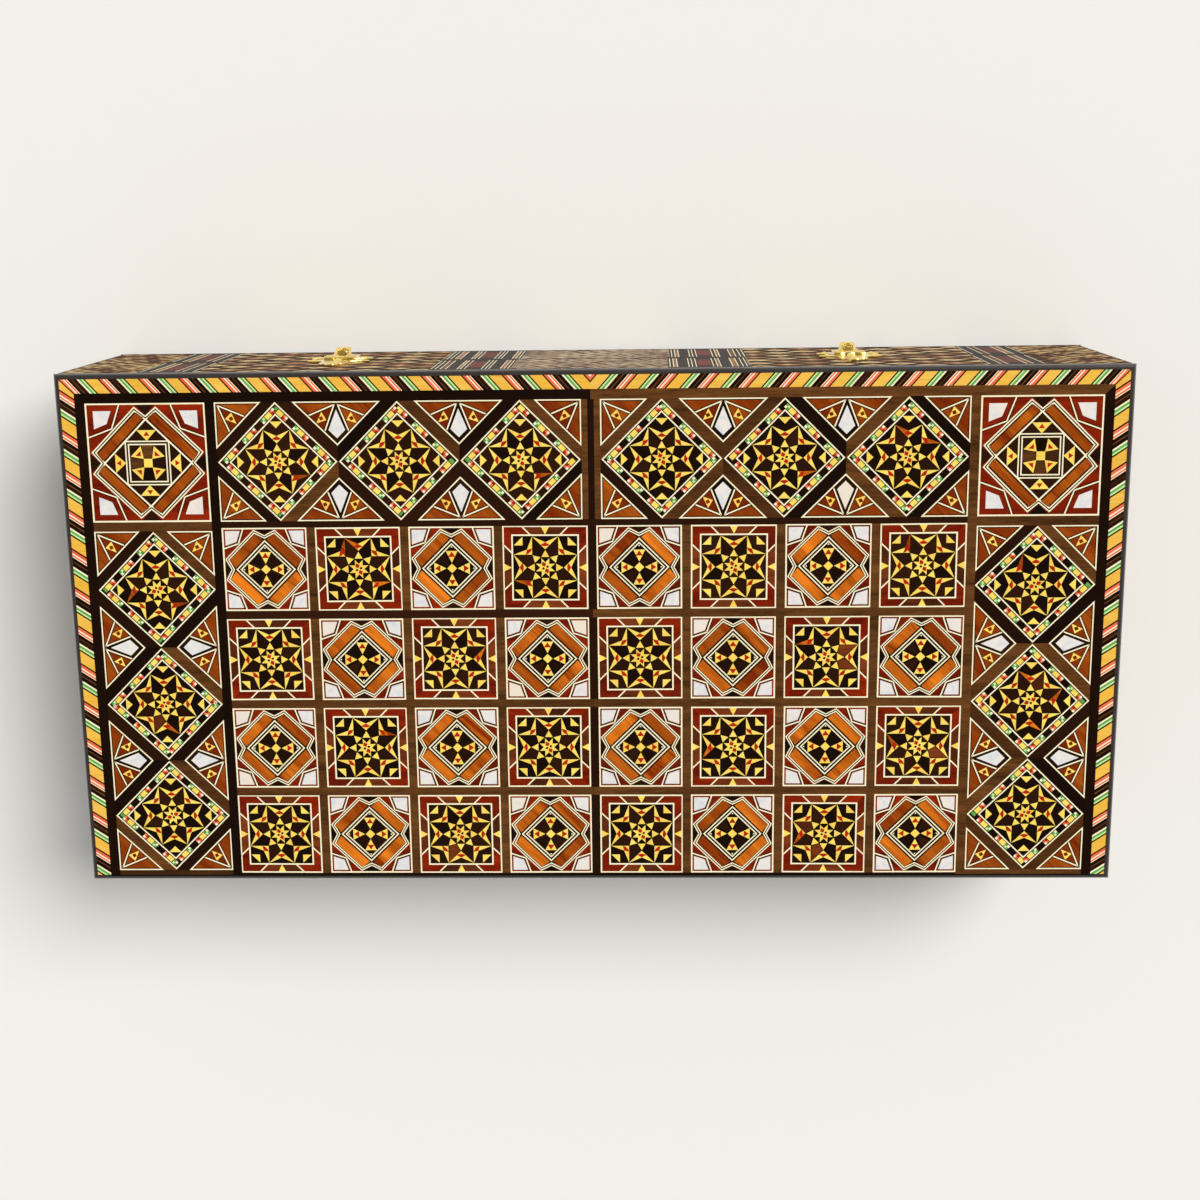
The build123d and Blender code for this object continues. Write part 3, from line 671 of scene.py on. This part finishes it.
def drawTriangle(outer, place):
    tessera("orange", outer, 1, place, tone=chance.uniform(*triangle["tones"]))
    border("ebony", outer, inlay["line"] + triangle["edge"], 4, place)
    border("cream", outer, inlay["line"], 5, place)


def drawKite(place, pivot, far, near, spark, seed):
    # A brown kite between two pale lines, with a yellow spark and a red dot.
    tessera("orange", [pivot, far, near], 2, place, tone=chance.uniform(*triangle["kiteTones"]))
    edgedStrip(pivot, far, 3, place)
    edgedStrip(pivot, near, 3, place)
    tessera("yellow", spark, 3, place)
    dot = turned(diamond(triangle["dot"]), 20)
    tessera("mahogany", [(seed[0] + x, seed[1] + y) for x, y in dot], 4, place)


def drawCornerTriangle(leg, place):
    drawTriangle([(0, 0), (leg, 0), (0, leg)], place)
    drawKite(place, (1.5, 1.5), (14.4, 6.9), (6.9, 14.4), [(7.9, 4.8), (4.8, 7.9), (10.1, 10.1)], (7.7, 7.7))


def drawFullTriangle(half, place):
    drawTriangle([(-half, 0), (half, 0), (0, half)], place)
    low, high = triangle["lanceEnds"]
    right, left = triangle["lance"]
    tessera("ebony", [(0, low), right, (0, half - high), left], 2, place)
    tessera("pearl", triangle["pearl"], 3, place)
    for side in (1, -1):
        drawKite(place, (side * 0.8, 1.5), (side * 13.0, 6.6), (side * 5.6, 13.9),
                 [(side * 6.9, 4.9), (side * 4.7, 8.7), (side * 9.5, 10.3)], (side * 7.1, 7.9))


panel = {"diamonds": 3, "bar": 7.8, "inset": 0.1, "cornerOver": 1.2}


def drawPanel(length, width, place):
    # Diamonds in a row, with triangles between them and dark bars at their sides.
    tessera("ebony", box((-length / 2, -width / 2), (length / 2, width / 2)), 0, place, deep=True)
    pitch = length / panel["diamonds"]
    half = width / 2
    gap = panel["bar"]
    bar = [(0, half), (gap, half), (pitch / 2, half - pitch / 2 + gap), (pitch / 2, half - pitch / 2)]
    for step in (-1, 0, 1):
        for turn in (1, -1):
            for side in (1, -1):
                wood = chance.choice(("brown", "ebony"))
                tessera(wood, [(step * pitch + side * x, turn * y) for x, y in bar], 1, place)
        drawDiamond(half - panel["inset"], place @ shift(step * pitch, 0))
    leg = pitch / 2 - gap + panel["cornerOver"]
    for turn in (0, 180):
        upper = place @ spin(turn) @ shift(0, -half)
        for step in (-0.5, 0.5):
            drawFullTriangle(pitch / 2 - gap, upper @ shift(step * pitch, 0))
        drawCornerTriangle(leg, upper @ shift(-length / 2, 0))
        drawCornerTriangle(leg, upper @ shift(length / 2, 0) @ spin(90))


stripes = {
    "width": 7.2, "pitch": 18.9, "leanLatch": 0.88, "leanEnd": 0.68, "latchUnits": 14.35, "latchShift": 2,
    "before": 20, "after": 5, "mitre": 0.5,
    "unit": [("ochre", 0.312), ("ebony", 0.045), ("coral", 0.082), ("cream", 0.040), ("coral", 0.048),
             ("cream", 0.022), ("ebony", 0.095), ("brown", 0.040), ("ebony", 0.104), ("cream", 0.050),
             ("fern", 0.064), ("leaf", 0.048), ("ebony", 0.046)],
}


def drawStripes(area, start, end, width, lean, place):
    # Leaning stripes from x start to end, in a band whose outer edge is y 0.
    x = start
    while x < end:
        for wood, part in stripes["unit"]:
            after = x + part * stripes["pitch"]
            stripe = [(x, 0), (after, 0), (after + lean * width, -width), (x + lean * width, -width)]
            tessera(wood, stripe, 0, place, deep=True, area=area)
            x = after


def pour(board, into):
    # Everything on a board goes over to another, and the board is done with.
    mesh = bpy.data.meshes.new("pour")
    board.to_mesh(mesh)
    into.from_mesh(mesh)
    bpy.data.meshes.remove(mesh)
    board.free()


def cutBoards(area, point, normal):
    for key, board in boards.items():
        if key[0] == area:
            everything = board.verts[:] + board.edges[:] + board.faces[:]
            bmesh.ops.bisect_plane(board, geom=everything, plane_co=point, plane_no=normal, clear_outer=True)


def pourBoards(area, into):
    for key in [k for k in boards if k[0] == area]:
        board = boards.pop(key)
        bmesh.ops.reverse_faces(board, faces=[f for f in board.faces if f.normal.z < 0])
        pour(board, boardFor(into, key[1], key[2]))


chess = {"columns": 8, "rows": 4, "gap": 4.0, "shift": 0.12, "turn": 0.3}
pitch = (2 * fieldHalf + chess["gap"]) / chess["columns"]
tileHalf = (pitch - chess["gap"]) / 2
for row in range(chess["rows"]):
    for column in range(chess["columns"]):
        place = at(-fieldHalf + tileHalf + column * pitch + chance.uniform(-chess["shift"], chess["shift"]),
                   fieldHigh - tileHalf - row * pitch + chance.uniform(-chess["shift"], chess["shift"]),
                   180 + chance.uniform(-chess["turn"], chess["turn"]))
        if (row + column) % 2:
            drawStarSquare(tileHalf, place)
        else:
            drawPearlSquare(tileHalf, place, pearlSquare)
print("chess squares drawn")

cornerHalf = (cornerHigh - cornerLow) / 2
stileHalf = 4.4
columnIn = 179.8
columnLow = -50.4
for side in (1, -1):
    place = at(side * (cornerOut - cornerHalf), cornerLow + cornerHalf, 180)
    drawPearlSquare(cornerHalf, place, cornerSquare)
    drawPanel(fieldHalf - stileHalf, 2 * cornerHalf,
              at(side * (fieldHalf + stileHalf) / 2, cornerLow + cornerHalf, 180))
    drawPanel(panelHigh - columnLow, 2 * cornerHalf,
              at(side * (cornerOut + columnIn) / 2, (panelHigh + columnLow) / 2, 90))
print("panels drawn")

width = stripes["width"]
corner = (stripeHalf * mm, stripeLatch * mm)
for side in (1, -1):
    # Lengthwise from the middle to the corner, then along the short edge; both are cut to the mitre.
    flip = Matrix.Scale(side, 4, (1, 0, 0))
    latchEdge = shift(0, stripeLatch * mm, faceTop * mm) @ flip @ spin(180) @ toMetres
    first = -stripes["latchUnits"] * stripes["pitch"] - stripes["latchShift"]
    drawStripes("latchStripes", first, 0, width, stripes["leanLatch"], latchEdge)
    cutBoards("latchStripes", (side * corner[0], corner[1], 0), (side, 1, 0))
    cutBoards("latchStripes", (0, 0, 0), (-side, 0, 0))
    pourBoards("latchStripes", "lid")
    endEdge = (shift(side * stripeHalf * mm, 0, faceTop * mm) @ flip @ spin(90)
               @ Matrix.Scale(-1, 4, (0, 1, 0)) @ toMetres)
    first = stripeLatch - stripes["before"]
    drawStripes("endStripes", first, foldY + stripes["after"], width, stripes["leanEnd"], endEdge)
    cutBoards("endStripes", (side * corner[0], corner[1], 0), (-side, -1, 0))
    cutBoards("endStripes", (0, foldY * mm, 0), (0, 1, 0))
    pourBoards("endStripes", "lid")
print("stripes drawn")


def groundStrip(wood, x0, y0, x1, y1, tone=None):
    tessera(wood, box((x0, y0), (x1, y1)), inlay["layers"], at(0, 0), deep=True, tone=tone)


# The walnut ground between the inlays, in strips, over one sheet.
sheetDepth = 0.75
under = at(0, 0) @ shift(0, 0, -sheetDepth)
tessera("brown", box((-stripeHalf, stripeLatch), (stripeHalf, foldY)), 0, under, deep=True)
frameOut = stripeHalf - width
frameLatch = stripeLatch + width
lineHalf = 1.5  # half the dark line down the middle of the stile
for side, wood in ((1, "ebony"), (-1, "brown")):
    latchStrip = [(0, frameLatch), (side * frameOut, frameLatch), (side * cornerOut, cornerLow),
                  (0, cornerLow)]
    tessera(wood, latchStrip, inlay["layers"], at(0, 0), deep=True, tone=-0.4)
    endStrip = [(side * frameOut, frameLatch), (side * frameOut, foldY), (side * cornerOut, foldY),
                (side * cornerOut, cornerLow)]
    tessera("ebony", endStrip, inlay["layers"], at(0, 0), deep=True, tone=-0.2)
    strip("ebony", (side * stripeHalf, stripeLatch), (side * frameOut, frameLatch), stripes["mitre"], 3,
          at(0, 0))
    low = min(side * fieldHalf, side * columnIn)
    groundStrip(wood, low, cornerLow, low + columnIn - fieldHalf, foldY, tone=-0.3)
    low = min(side * columnIn, side * cornerOut)
    groundStrip("brown", low, cornerHigh, low + cornerOut - columnIn, columnLow)
    groundStrip("brown", low, panelHigh, low + cornerOut - columnIn, foldY)
    low = min(side * lineHalf, side * stileHalf)
    groundStrip("brown", low, cornerLow, low + stileHalf - lineHalf, cornerHigh, tone=-0.7)
groundStrip("ebony", -lineHalf, cornerLow, lineHalf, cornerHigh, tone=0.0)
groundStrip("ebony", -fieldHalf, cornerHigh, fieldHalf, fieldLow, tone=0.6)
groundStrip("ebony", -fieldHalf, fieldHigh, fieldHalf, foldY, tone=0.2)
for row in range(chess["rows"]):
    high = fieldHigh - row * pitch
    if row:
        groundStrip("brown", -fieldHalf, high, 0, high + chess["gap"], tone=-0.3)
        wood, tone = ("ebony", 1.2) if row == chess["rows"] - 1 else ("brown", 0.2)
        groundStrip(wood, 0, high, fieldHalf, high + chess["gap"], tone=tone)
    for column in range(1, chess["columns"]):
        x = -fieldHalf + column * pitch
        inMiddle = column == chess["columns"] / 2
        wood, tone = ("ebony", 0.3) if inMiddle else ("brown", chance.uniform(-1.0, 0.4))
        groundStrip(wood, x - chess["gap"], high - 2 * tileHalf, x, high, tone=tone)
print("ground laid")

# Two kinds of group: the pale lines across it, and the strips of chestnut between some of them.
wall = {
    "sheet": 0.7, "fill": 1.3, "lines": 2.0, "edge": 1.1, "pale": 0.42, "margin": 4.0, "panel": (6.4, 31.0),
    "shift": 0.7, "over": 1.0,
    "longGroups": ((54.0, "rich"), (197.5, "plain")), "shortGroups": ((88.0, "rich"),),
    "rich": (-19.6, -17.6, -15.4, -12.8, -7.4, -5.8, -4.0, 4.0, 5.8, 7.4, 12.8, 14.6, 16.2),
    "richFill": ((-15.4, -12.8), (12.8, 14.6), (-7.4, -5.8)),
    "plain": (-12.4, -7.6, -4.2, 4.2, 7.6, 12.4), "plainFill": ((-7.6, -4.2), (4.2, 7.6)),
}
wallMiddle = (wallBox[0].z + wallBox[1].z) / 2 / mm
wallHalf = (wallBox[1].z - wallBox[0].z) / 2 / mm


def drawWall(half, groups, place):
    # A dark line along each long edge, and groups of pale lines with a red panel on a dark sheet.
    sheet, fill, level = (inlay["layers"] + wall[part] for part in ("sheet", "fill", "lines"))
    inner = wallHalf - wall["edge"]
    reach = wallHalf - wall["margin"]
    for side in (1, -1):
        y = side * (wallHalf - wall["edge"] / 2)
        strip("ebony", (-half, y), (half, y), wall["edge"], level, place, area="wall")
        for middle, kind in groups:
            centre = side * middle + wall["shift"]
            ends = (min(wall[kind]) - wall["over"], max(wall[kind]) + wall["over"])
            low, high = sorted(centre - side * x for x in ends)
            tessera("ebony", box((low, -inner), (high, inner)), sheet, place, tone=0.0, area="wall")
            for ends in wall[kind + "Fill"]:
                low, high = sorted(centre - side * x for x in ends)
                tessera("chestnut", box((low, -reach), (high, reach)), fill, place, area="wall")
            for x in wall[kind]:
                x = centre - side * x
                strip("cream", (x, -reach), (x, reach), wall["pale"], level, place, area="wall")
            wide, high = wall["panel"]
            middlePanel = box((centre - wide / 2, -high / 2), (centre + wide / 2, high / 2))
            tessera("mahogany", middlePanel, level, place, area="wall")


longWall = (wallBox[1].x, wallBox[0].y, "longGroups")
shortWall = (endBox[1].y, endBox[0].x, "shortGroups")
for turn, (half, distance, groups) in ((0, longWall), (180, longWall), (90, shortWall), (270, shortWall)):
    place = spin(turn) @ shift(0, distance, wallMiddle * mm) @ spin(90, "X") @ toMetres
    drawWall(half / mm, wall[groups], place)
print("walls drawn")

# The backgammon field inside each tray: points from both short walls, and a medallion between them.
field = {
    "points": 6, "base": 33.0, "length": 168.0, "margin": 6.0, "footGap": 0.6, "rimGap": 2, "rim": 3.2,
    "line": 0.9, "edge": 1.1, "body": 0.5, "heart": 7.5, "heartIn": 16, "heartEdge": 1.2, "tip": 3.4,
    "tipHeart": 2.2, "medallion": 44, "bar": ((-21, 23.4), (21, 28.6)), "middle": 31.5,
    "spot": (24, 78), "spotHalf": 13, "spotLine": 0.7, "spotPearl": 8.5,
}
pointWoods = (
    ("ebony", "cream", "mahogany", "yellow", "ochre"), ("cream", "ebony", "ochre", "red", "mahogany"),
)
fieldX = fieldBox[1].x / mm
fieldY = fieldBox[1].y / mm
inside = turnOver @ shift(0, 0, fieldBox[1].z) @ toMetres
above = inlay["layers"]
rimX = fieldX - field["rimGap"]
rimY = fieldY - field["rimGap"]
rim = box((-rimX, -rimY), (rimX, rimY))
border("ebony", rim, field["rim"], above + 1, inside)
border("cream", shrink(rim, field["rim"]), field["line"], above + 1, inside)
pointStep = 2 * (fieldY - field["margin"]) / field["points"]
foot = fieldX - field["margin"] - field["footGap"]
head = foot - field["length"]
for end in (1, -1):
    for index in range(field["points"]):
        edgeWood, bodyWood, coreWood, heartWood, tipWood = pointWoods[(index + (end > 0)) % 2]
        y = -fieldY + field["margin"] + (index + 0.5) * pointStep
        point = [(end * foot, y - field["base"] / 2), (end * head, y), (end * foot, y + field["base"] / 2)]
        if end < 0:
            point = point[::-1]
        tessera(edgeWood, point, above + 1, inside, tone=0.0)
        body = shrink(point, field["edge"])
        tessera(bodyWood, body, above + 2, inside, tone=0.0)
        tessera(coreWood, shrink(body, field["body"]), above + 3, inside)
        heart = diamond(field["heart"], (end * (foot - field["heartIn"]), y))
        tessera("ebony", heart, above + 4, inside)
        tessera(heartWood, shrink(heart, field["heartEdge"]), above + 5, inside)
        tessera("cream", diamond(field["tip"], (end * head, y)), above + 3, inside)
        tessera(tipWood, diamond(field["tipHeart"], (end * head, y)), above + 4, inside)
medallion = inside @ shift(0, 0, above * inlay["layer"])
tessera("ebony", diamond(field["medallion"]), 1, medallion, tone=0.0)
border("cream", diamond(field["medallion"]), field["line"], 2, medallion)
for turn in diagonals:
    tessera("orange", turned(box(*field["bar"]), turn), 2, medallion)
drawDiamond(field["middle"], medallion)
spotX, spotY = field["spot"]
for x in (spotX, -spotX):
    for y in (-spotY, spotY):
        spot = diamond(field["spotHalf"], (x, y))
        tessera("ebony", spot, 1, medallion, tone=0.0)
        border("cream", spot, field["spotLine"], 2, medallion)
        tessera("pearl", diamond(field["spotPearl"], (x, y)), 2, medallion)
print("playing field drawn")


def gatherBoards(area, wood):
    # The thick and the thin tesserae of one wood, each given its thickness.
    whole = bmesh.new()
    for deep, depth in ((True, inlay["deep"]), (False, inlay["thin"])):
        board = boards.get((area, wood, deep))
        if board:
            board.normal_update()
            bmesh.ops.solidify(board, geom=board.faces[:], thickness=depth * mm)
            pour(board, whole)
    return whole


def addObject(name, data):
    thing = bpy.data.objects.new(name, data)
    bpy.context.scene.collection.objects.link(thing)
    return thing


def addMesh(name, shape, material):
    mesh = bpy.data.meshes.new(name)
    shape.to_mesh(mesh)
    mesh.materials.append(material)
    return addObject(name, mesh)


def placePiece(name, shape, material, body, replaced):
    piece = addMesh(name, shape, material)
    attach(piece, body)
    if replaced:
        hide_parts(*replaced)


def placePair(name, shape, material, replaced):
    # The lid's piece, and its twin on the base.
    placePiece("lid_" + name, shape, material, "lid", ["lid_" + node for node in replaced])
    bmesh.ops.transform(shape, matrix=turnOver, verts=shape.verts[:])
    placePiece("base_" + name, shape, material, "base", ["base_" + node for node in replaced])
    shape.free()


faceNodes = ("board_ground", "star_tiles", "pearl_tiles", "corner_tiles", "medallion_panels", "stripe_bands")
woodSlots = {
    "cream": "star_mosaic", "yellow": "star_mosaic", "chestnut": "star_mosaic", "ochre": "stripe_inlay",
    "orange": "medallion_mosaic", "mahogany": "pearl_mosaic", "red": "star_mosaic", "coral": "stripe_inlay",
    "ebony": "star_mosaic", "fern": "stripe_inlay", "leaf": "stripe_inlay", "brown": "walnut_ground",
    "pearl": "pearl_mosaic",
}
for wood, slotName in woodSlots.items():
    placePair(wood + "_inlay", gatherBoards("lid", wood), woodFinishes[wood], faceNodes)

wallLook = {"rough": 0.42, "coat": 0.18}
wallWoods = {
    "ebony": {}, "cream": {}, "chestnut": {"light": (0.70, 0.50, 0.33), "dark": (0.44, 0.28, 0.18)},
    "mahogany": {"light": (0.50, 0.19, 0.12), "dark": (0.34, 0.11, 0.07)},
}
for wood, look in wallWoods.items():
    satin = makeWood(wood + "WallWood", {**woodBasics, **woods[wood], **wallLook, **look})
    placePair("wall_" + wood, gatherBoards("wall", wood), satin, ())

# The arris strip is dark hardwood with its colours lifted toward grey: a painted sheen of light off its
# rounded edge, on top of the real gloss of its coat.
arrisLookWithPaintedSheen = {
    "light": (0.17, 0.14, 0.13), "dark": (0.08, 0.065, 0.06), "other": (0.20, 0.13, 0.10),
    "rough": 0.16, "coat": 1.0, "level": 0.9,
}
arris = {"width": 2.5, "round": 1.5, "segments": 5}  # mm


def makeArris(low, high):
    # The strip round the lid's top edges, with its outer edge rounded over.
    shape = bmesh.new()
    middle = (low + high) / 2
    whole = Matrix.Translation(middle) @ Matrix.Diagonal((*(high - low), 1))
    bmesh.ops.create_cube(shape, size=1, matrix=whole)
    over = [e for e in shape.edges if all(v.co.z > middle.z for v in e.verts)]
    bmesh.ops.bevel(shape, geom=over, offset=arris["round"] * mm, segments=arris["segments"], profile=0.5,
                    affect="EDGES", material=-1)
    shape.normal_update()
    loops = []
    for sign, inward in ((1, arris["width"] - arris["round"]), (-1, arris["width"])):
        face = max(shape.faces, key=lambda f: sign * f.normal.z * f.calc_area())
        bmesh.ops.inset_region(shape, faces=[face], thickness=inward * mm, use_even_offset=True)
        loops += face.edges[:]
        bmesh.ops.delete(shape, geom=[face], context="FACES_ONLY")
    bmesh.ops.bridge_loops(shape, edges=loops)
    bmesh.ops.recalc_face_normals(shape, faces=shape.faces[:])
    return shape


# Dark wood with a painted sheen in its greyed colours.
arrisWood = makeWood("arrisWood", {**woodBasics, **arrisLookWithPaintedSheen})
placePair("arris_strips", makeArris(*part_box("lid_edge_strips")), arrisWood, ("edge_strips",))
print("inlays placed")

brassLook = {
    "colour": (1.0, 0.90, 0.53), "worn": (0.90, 0.75, 0.38), "wornFrom": 0.45, "wornTo": 0.75, "rough": 0.13,
    "smudge": 0.12, "smudges": 120.0, "scratch": 0.06, "scratches": 1500.0, "dents": 240.0, "dent": 0.25,
    "dentDepth": 0.0004,
}


def makeBrass(name, look):
    material, tree, shader = startMaterial(name)
    vector = objectVector(tree)
    wear = addWear(tree, vector, look, Smudge_Scale=look["smudges"], Scratch_Scale=look["scratches"])
    worn = addRange(tree, wear["Dust"], look["wornFrom"], look["wornTo"])
    # Stamped sheet is never quite flat.
    dents = addNoise(tree, vector, look["dents"], Detail=1.0)
    feed(tree, shader, {
        "Base Color": mixColours(tree, worn, linear(look["colour"]), linear(look["worn"])),
        "Roughness": wear["Roughness"], "Metallic": 1.0,
        "Normal": addBump(tree, dents, look["dent"], look["dentDepth"])})
    return material


# The frame's own pieces get their finishes, and some have their edges softened.
cadWoods = {
    "dark_hardwood": {"light": (0.14, 0.10, 0.085), "dark": (0.05, 0.035, 0.03), "other": (0.2, 0.1, 0.07),
                      "rough": 0.24, "coat": 0.3},
    "rim_wood": {"light": (0.42, 0.27, 0.16), "dark": (0.24, 0.14, 0.08), "other": (0.3, 0.2, 0.1)},
    "core_wood": {"light": (0.50, 0.32, 0.19), "dark": (0.33, 0.19, 0.10), "other": (0.4, 0.2, 0.1),
                  "rough": 0.4, "coat": 0.1},
    "walnut_ground": {"light": (0.40, 0.24, 0.14), "dark": (0.24, 0.13, 0.07), "other": (0.30, 0.12, 0.06)},
    "playing_field": {"light": (0.42, 0.26, 0.15), "dark": (0.22, 0.12, 0.07), "other": (0.3, 0.12, 0.06)},
}
cadFinishes = {name: makeWood(name + "Finish", {**woodBasics, **look}) for name, look in cadWoods.items()}
cadFinishes["latch_brass"] = makeBrass("latchBrass", brassLook)
cadFinishes["hinge_brass"] = makeBrass("hingeBrass", {**brassLook, "rough": 0.2})
longMosaic = makeMosaic("longWallMosaic", mosaicLook, axis=0, lensFrom=0.075, lensTo=0.186)
shortMosaic = makeMosaic("shortWallMosaic", mosaicLook, axis=1, lensFrom=0.0, lensTo=0.078)
softEdges = {"wood": 0.00025, "brass": 0.00012, "segments": 2, "angle": 35, "weld": 0.000002}
softParts = ("rim_strips", "corner_strips", "_rail", "latch_plate", "latch_flap", "catch_plate", "hinge_leaf")
for name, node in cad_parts.items():
    if name.endswith("_veneer"):
        node.data.materials[0] = longMosaic if "front" in name or "hinge" in name else shortMosaic
    slotName = node.data.materials[0].name.split(".")[0]
    if slotName in cadFinishes:
        node.data.materials[0] = cadFinishes[slotName]
    if any(part in name for part in softParts):
        joined = node.modifiers.new("joined", "WELD")
        joined.merge_threshold = softEdges["weld"]
        soft = node.modifiers.new("softEdges", "BEVEL")
        soft.width = softEdges["wood" if name.startswith(("lid_", "base_")) else "brass"]
        soft.segments = softEdges["segments"]
        soft.limit_method = "ANGLE"
        soft.angle_limit = math.radians(softEdges["angle"])
print("frame finished")

floorLook = {"colour": (0.925, 0.92, 0.905), "size": 6.0, "height": -0.0003, "rough": 0.85, "level": 0.05}
shape = bmesh.new()
bmesh.ops.create_grid(shape, x_segments=1, y_segments=1, size=floorLook["size"],
                      matrix=shift(0, 0, floorLook["height"]))
material, tree, shader = startMaterial("floorPaper")
feed(tree, shader, {"Base Color": linear(floorLook["colour"]), "Roughness": floorLook["rough"],
                    "Specular IOR Level": floorLook["level"]})
floor = addMesh("floor", shape, material)
shape.free()
floor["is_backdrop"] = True

lightLook = {
    "sun": 2.78, "sunAngle": 30.0, "sunColour": (1.0, 0.98, 0.95), "from": (-0.75, -0.65, 1.15),
    "sky": (0.97, 0.97, 0.97, 1.0), "skyStrength": 0.42, "backdrop": (0.86, 0.855, 0.845, 1.0),
    "ceiling": (0.26, 0.24, 0.21, 1.0), "fade": (0.35, 0.75),
}
sun = bpy.data.lights.new("softSun", "SUN")
sun.energy = lightLook["sun"]
sun.angle = math.radians(lightLook["sunAngle"])
sun.color = lightLook["sunColour"]
addObject("softSun", sun).rotation_euler = Vector(lightLook["from"]).to_track_quat("Z", "Y").to_euler()
world = bpy.data.worlds.new("studio")
world.use_nodes = True
tree = world.node_tree
sky = feed(tree, tree.nodes["Background"], {"Color": lightLook["sky"], "Strength": lightLook["skyStrength"]})
# The backdrop is pale round the sides and dim overhead, so that the lacquer keeps its depth.
height = splitVector(tree, tree.nodes.new("ShaderNodeTexCoord").outputs["Generated"])[2]
fade = addRange(tree, height, *lightLook["fade"], "SMOOTHSTEP")
seen = addNode(tree, "ShaderNodeBackground", {
    "Color": mixColours(tree, fade, lightLook["backdrop"], lightLook["ceiling"])})
rays = tree.nodes.new("ShaderNodeLightPath").outputs
direct = addMaths(tree, "MAXIMUM", rays["Is Camera Ray"], rays["Is Glossy Ray"])
direct = addMaths(tree, "MAXIMUM", direct, rays["Is Transmission Ray"])
either = addNode(tree, "ShaderNodeMixShader", {0: direct, 1: sky.outputs[0], 2: seen.outputs[0]})
feed(tree, tree.nodes["World Output"], {"Surface": either.outputs[0]})
bpy.context.scene.world = world
bpy.context.scene.view_settings.view_transform = "Standard"

view = {
    "lens": 52.49, "sensor": 36, "place": (-0.02825, -0.19944, 0.91889),
    "right": (-0.99953, 0.01219, -0.02803), "back": (-0.03003, -0.22122, 0.97476),
}
cameraData = bpy.data.cameras.new("camera")
cameraData.lens = view["lens"]
cameraData.sensor_width = view["sensor"]
camera = addObject("camera", cameraData)
back = Vector(view["back"]).normalized()
up = back.cross(Vector(view["right"]).normalized()).normalized()
right = up.cross(back)
camera.matrix_world = shift(*view["place"]) @ Matrix((right, up, back)).transposed().to_4x4()
bpy.context.scene.camera = camera
print("floor, lamps and camera set")

low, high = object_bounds()
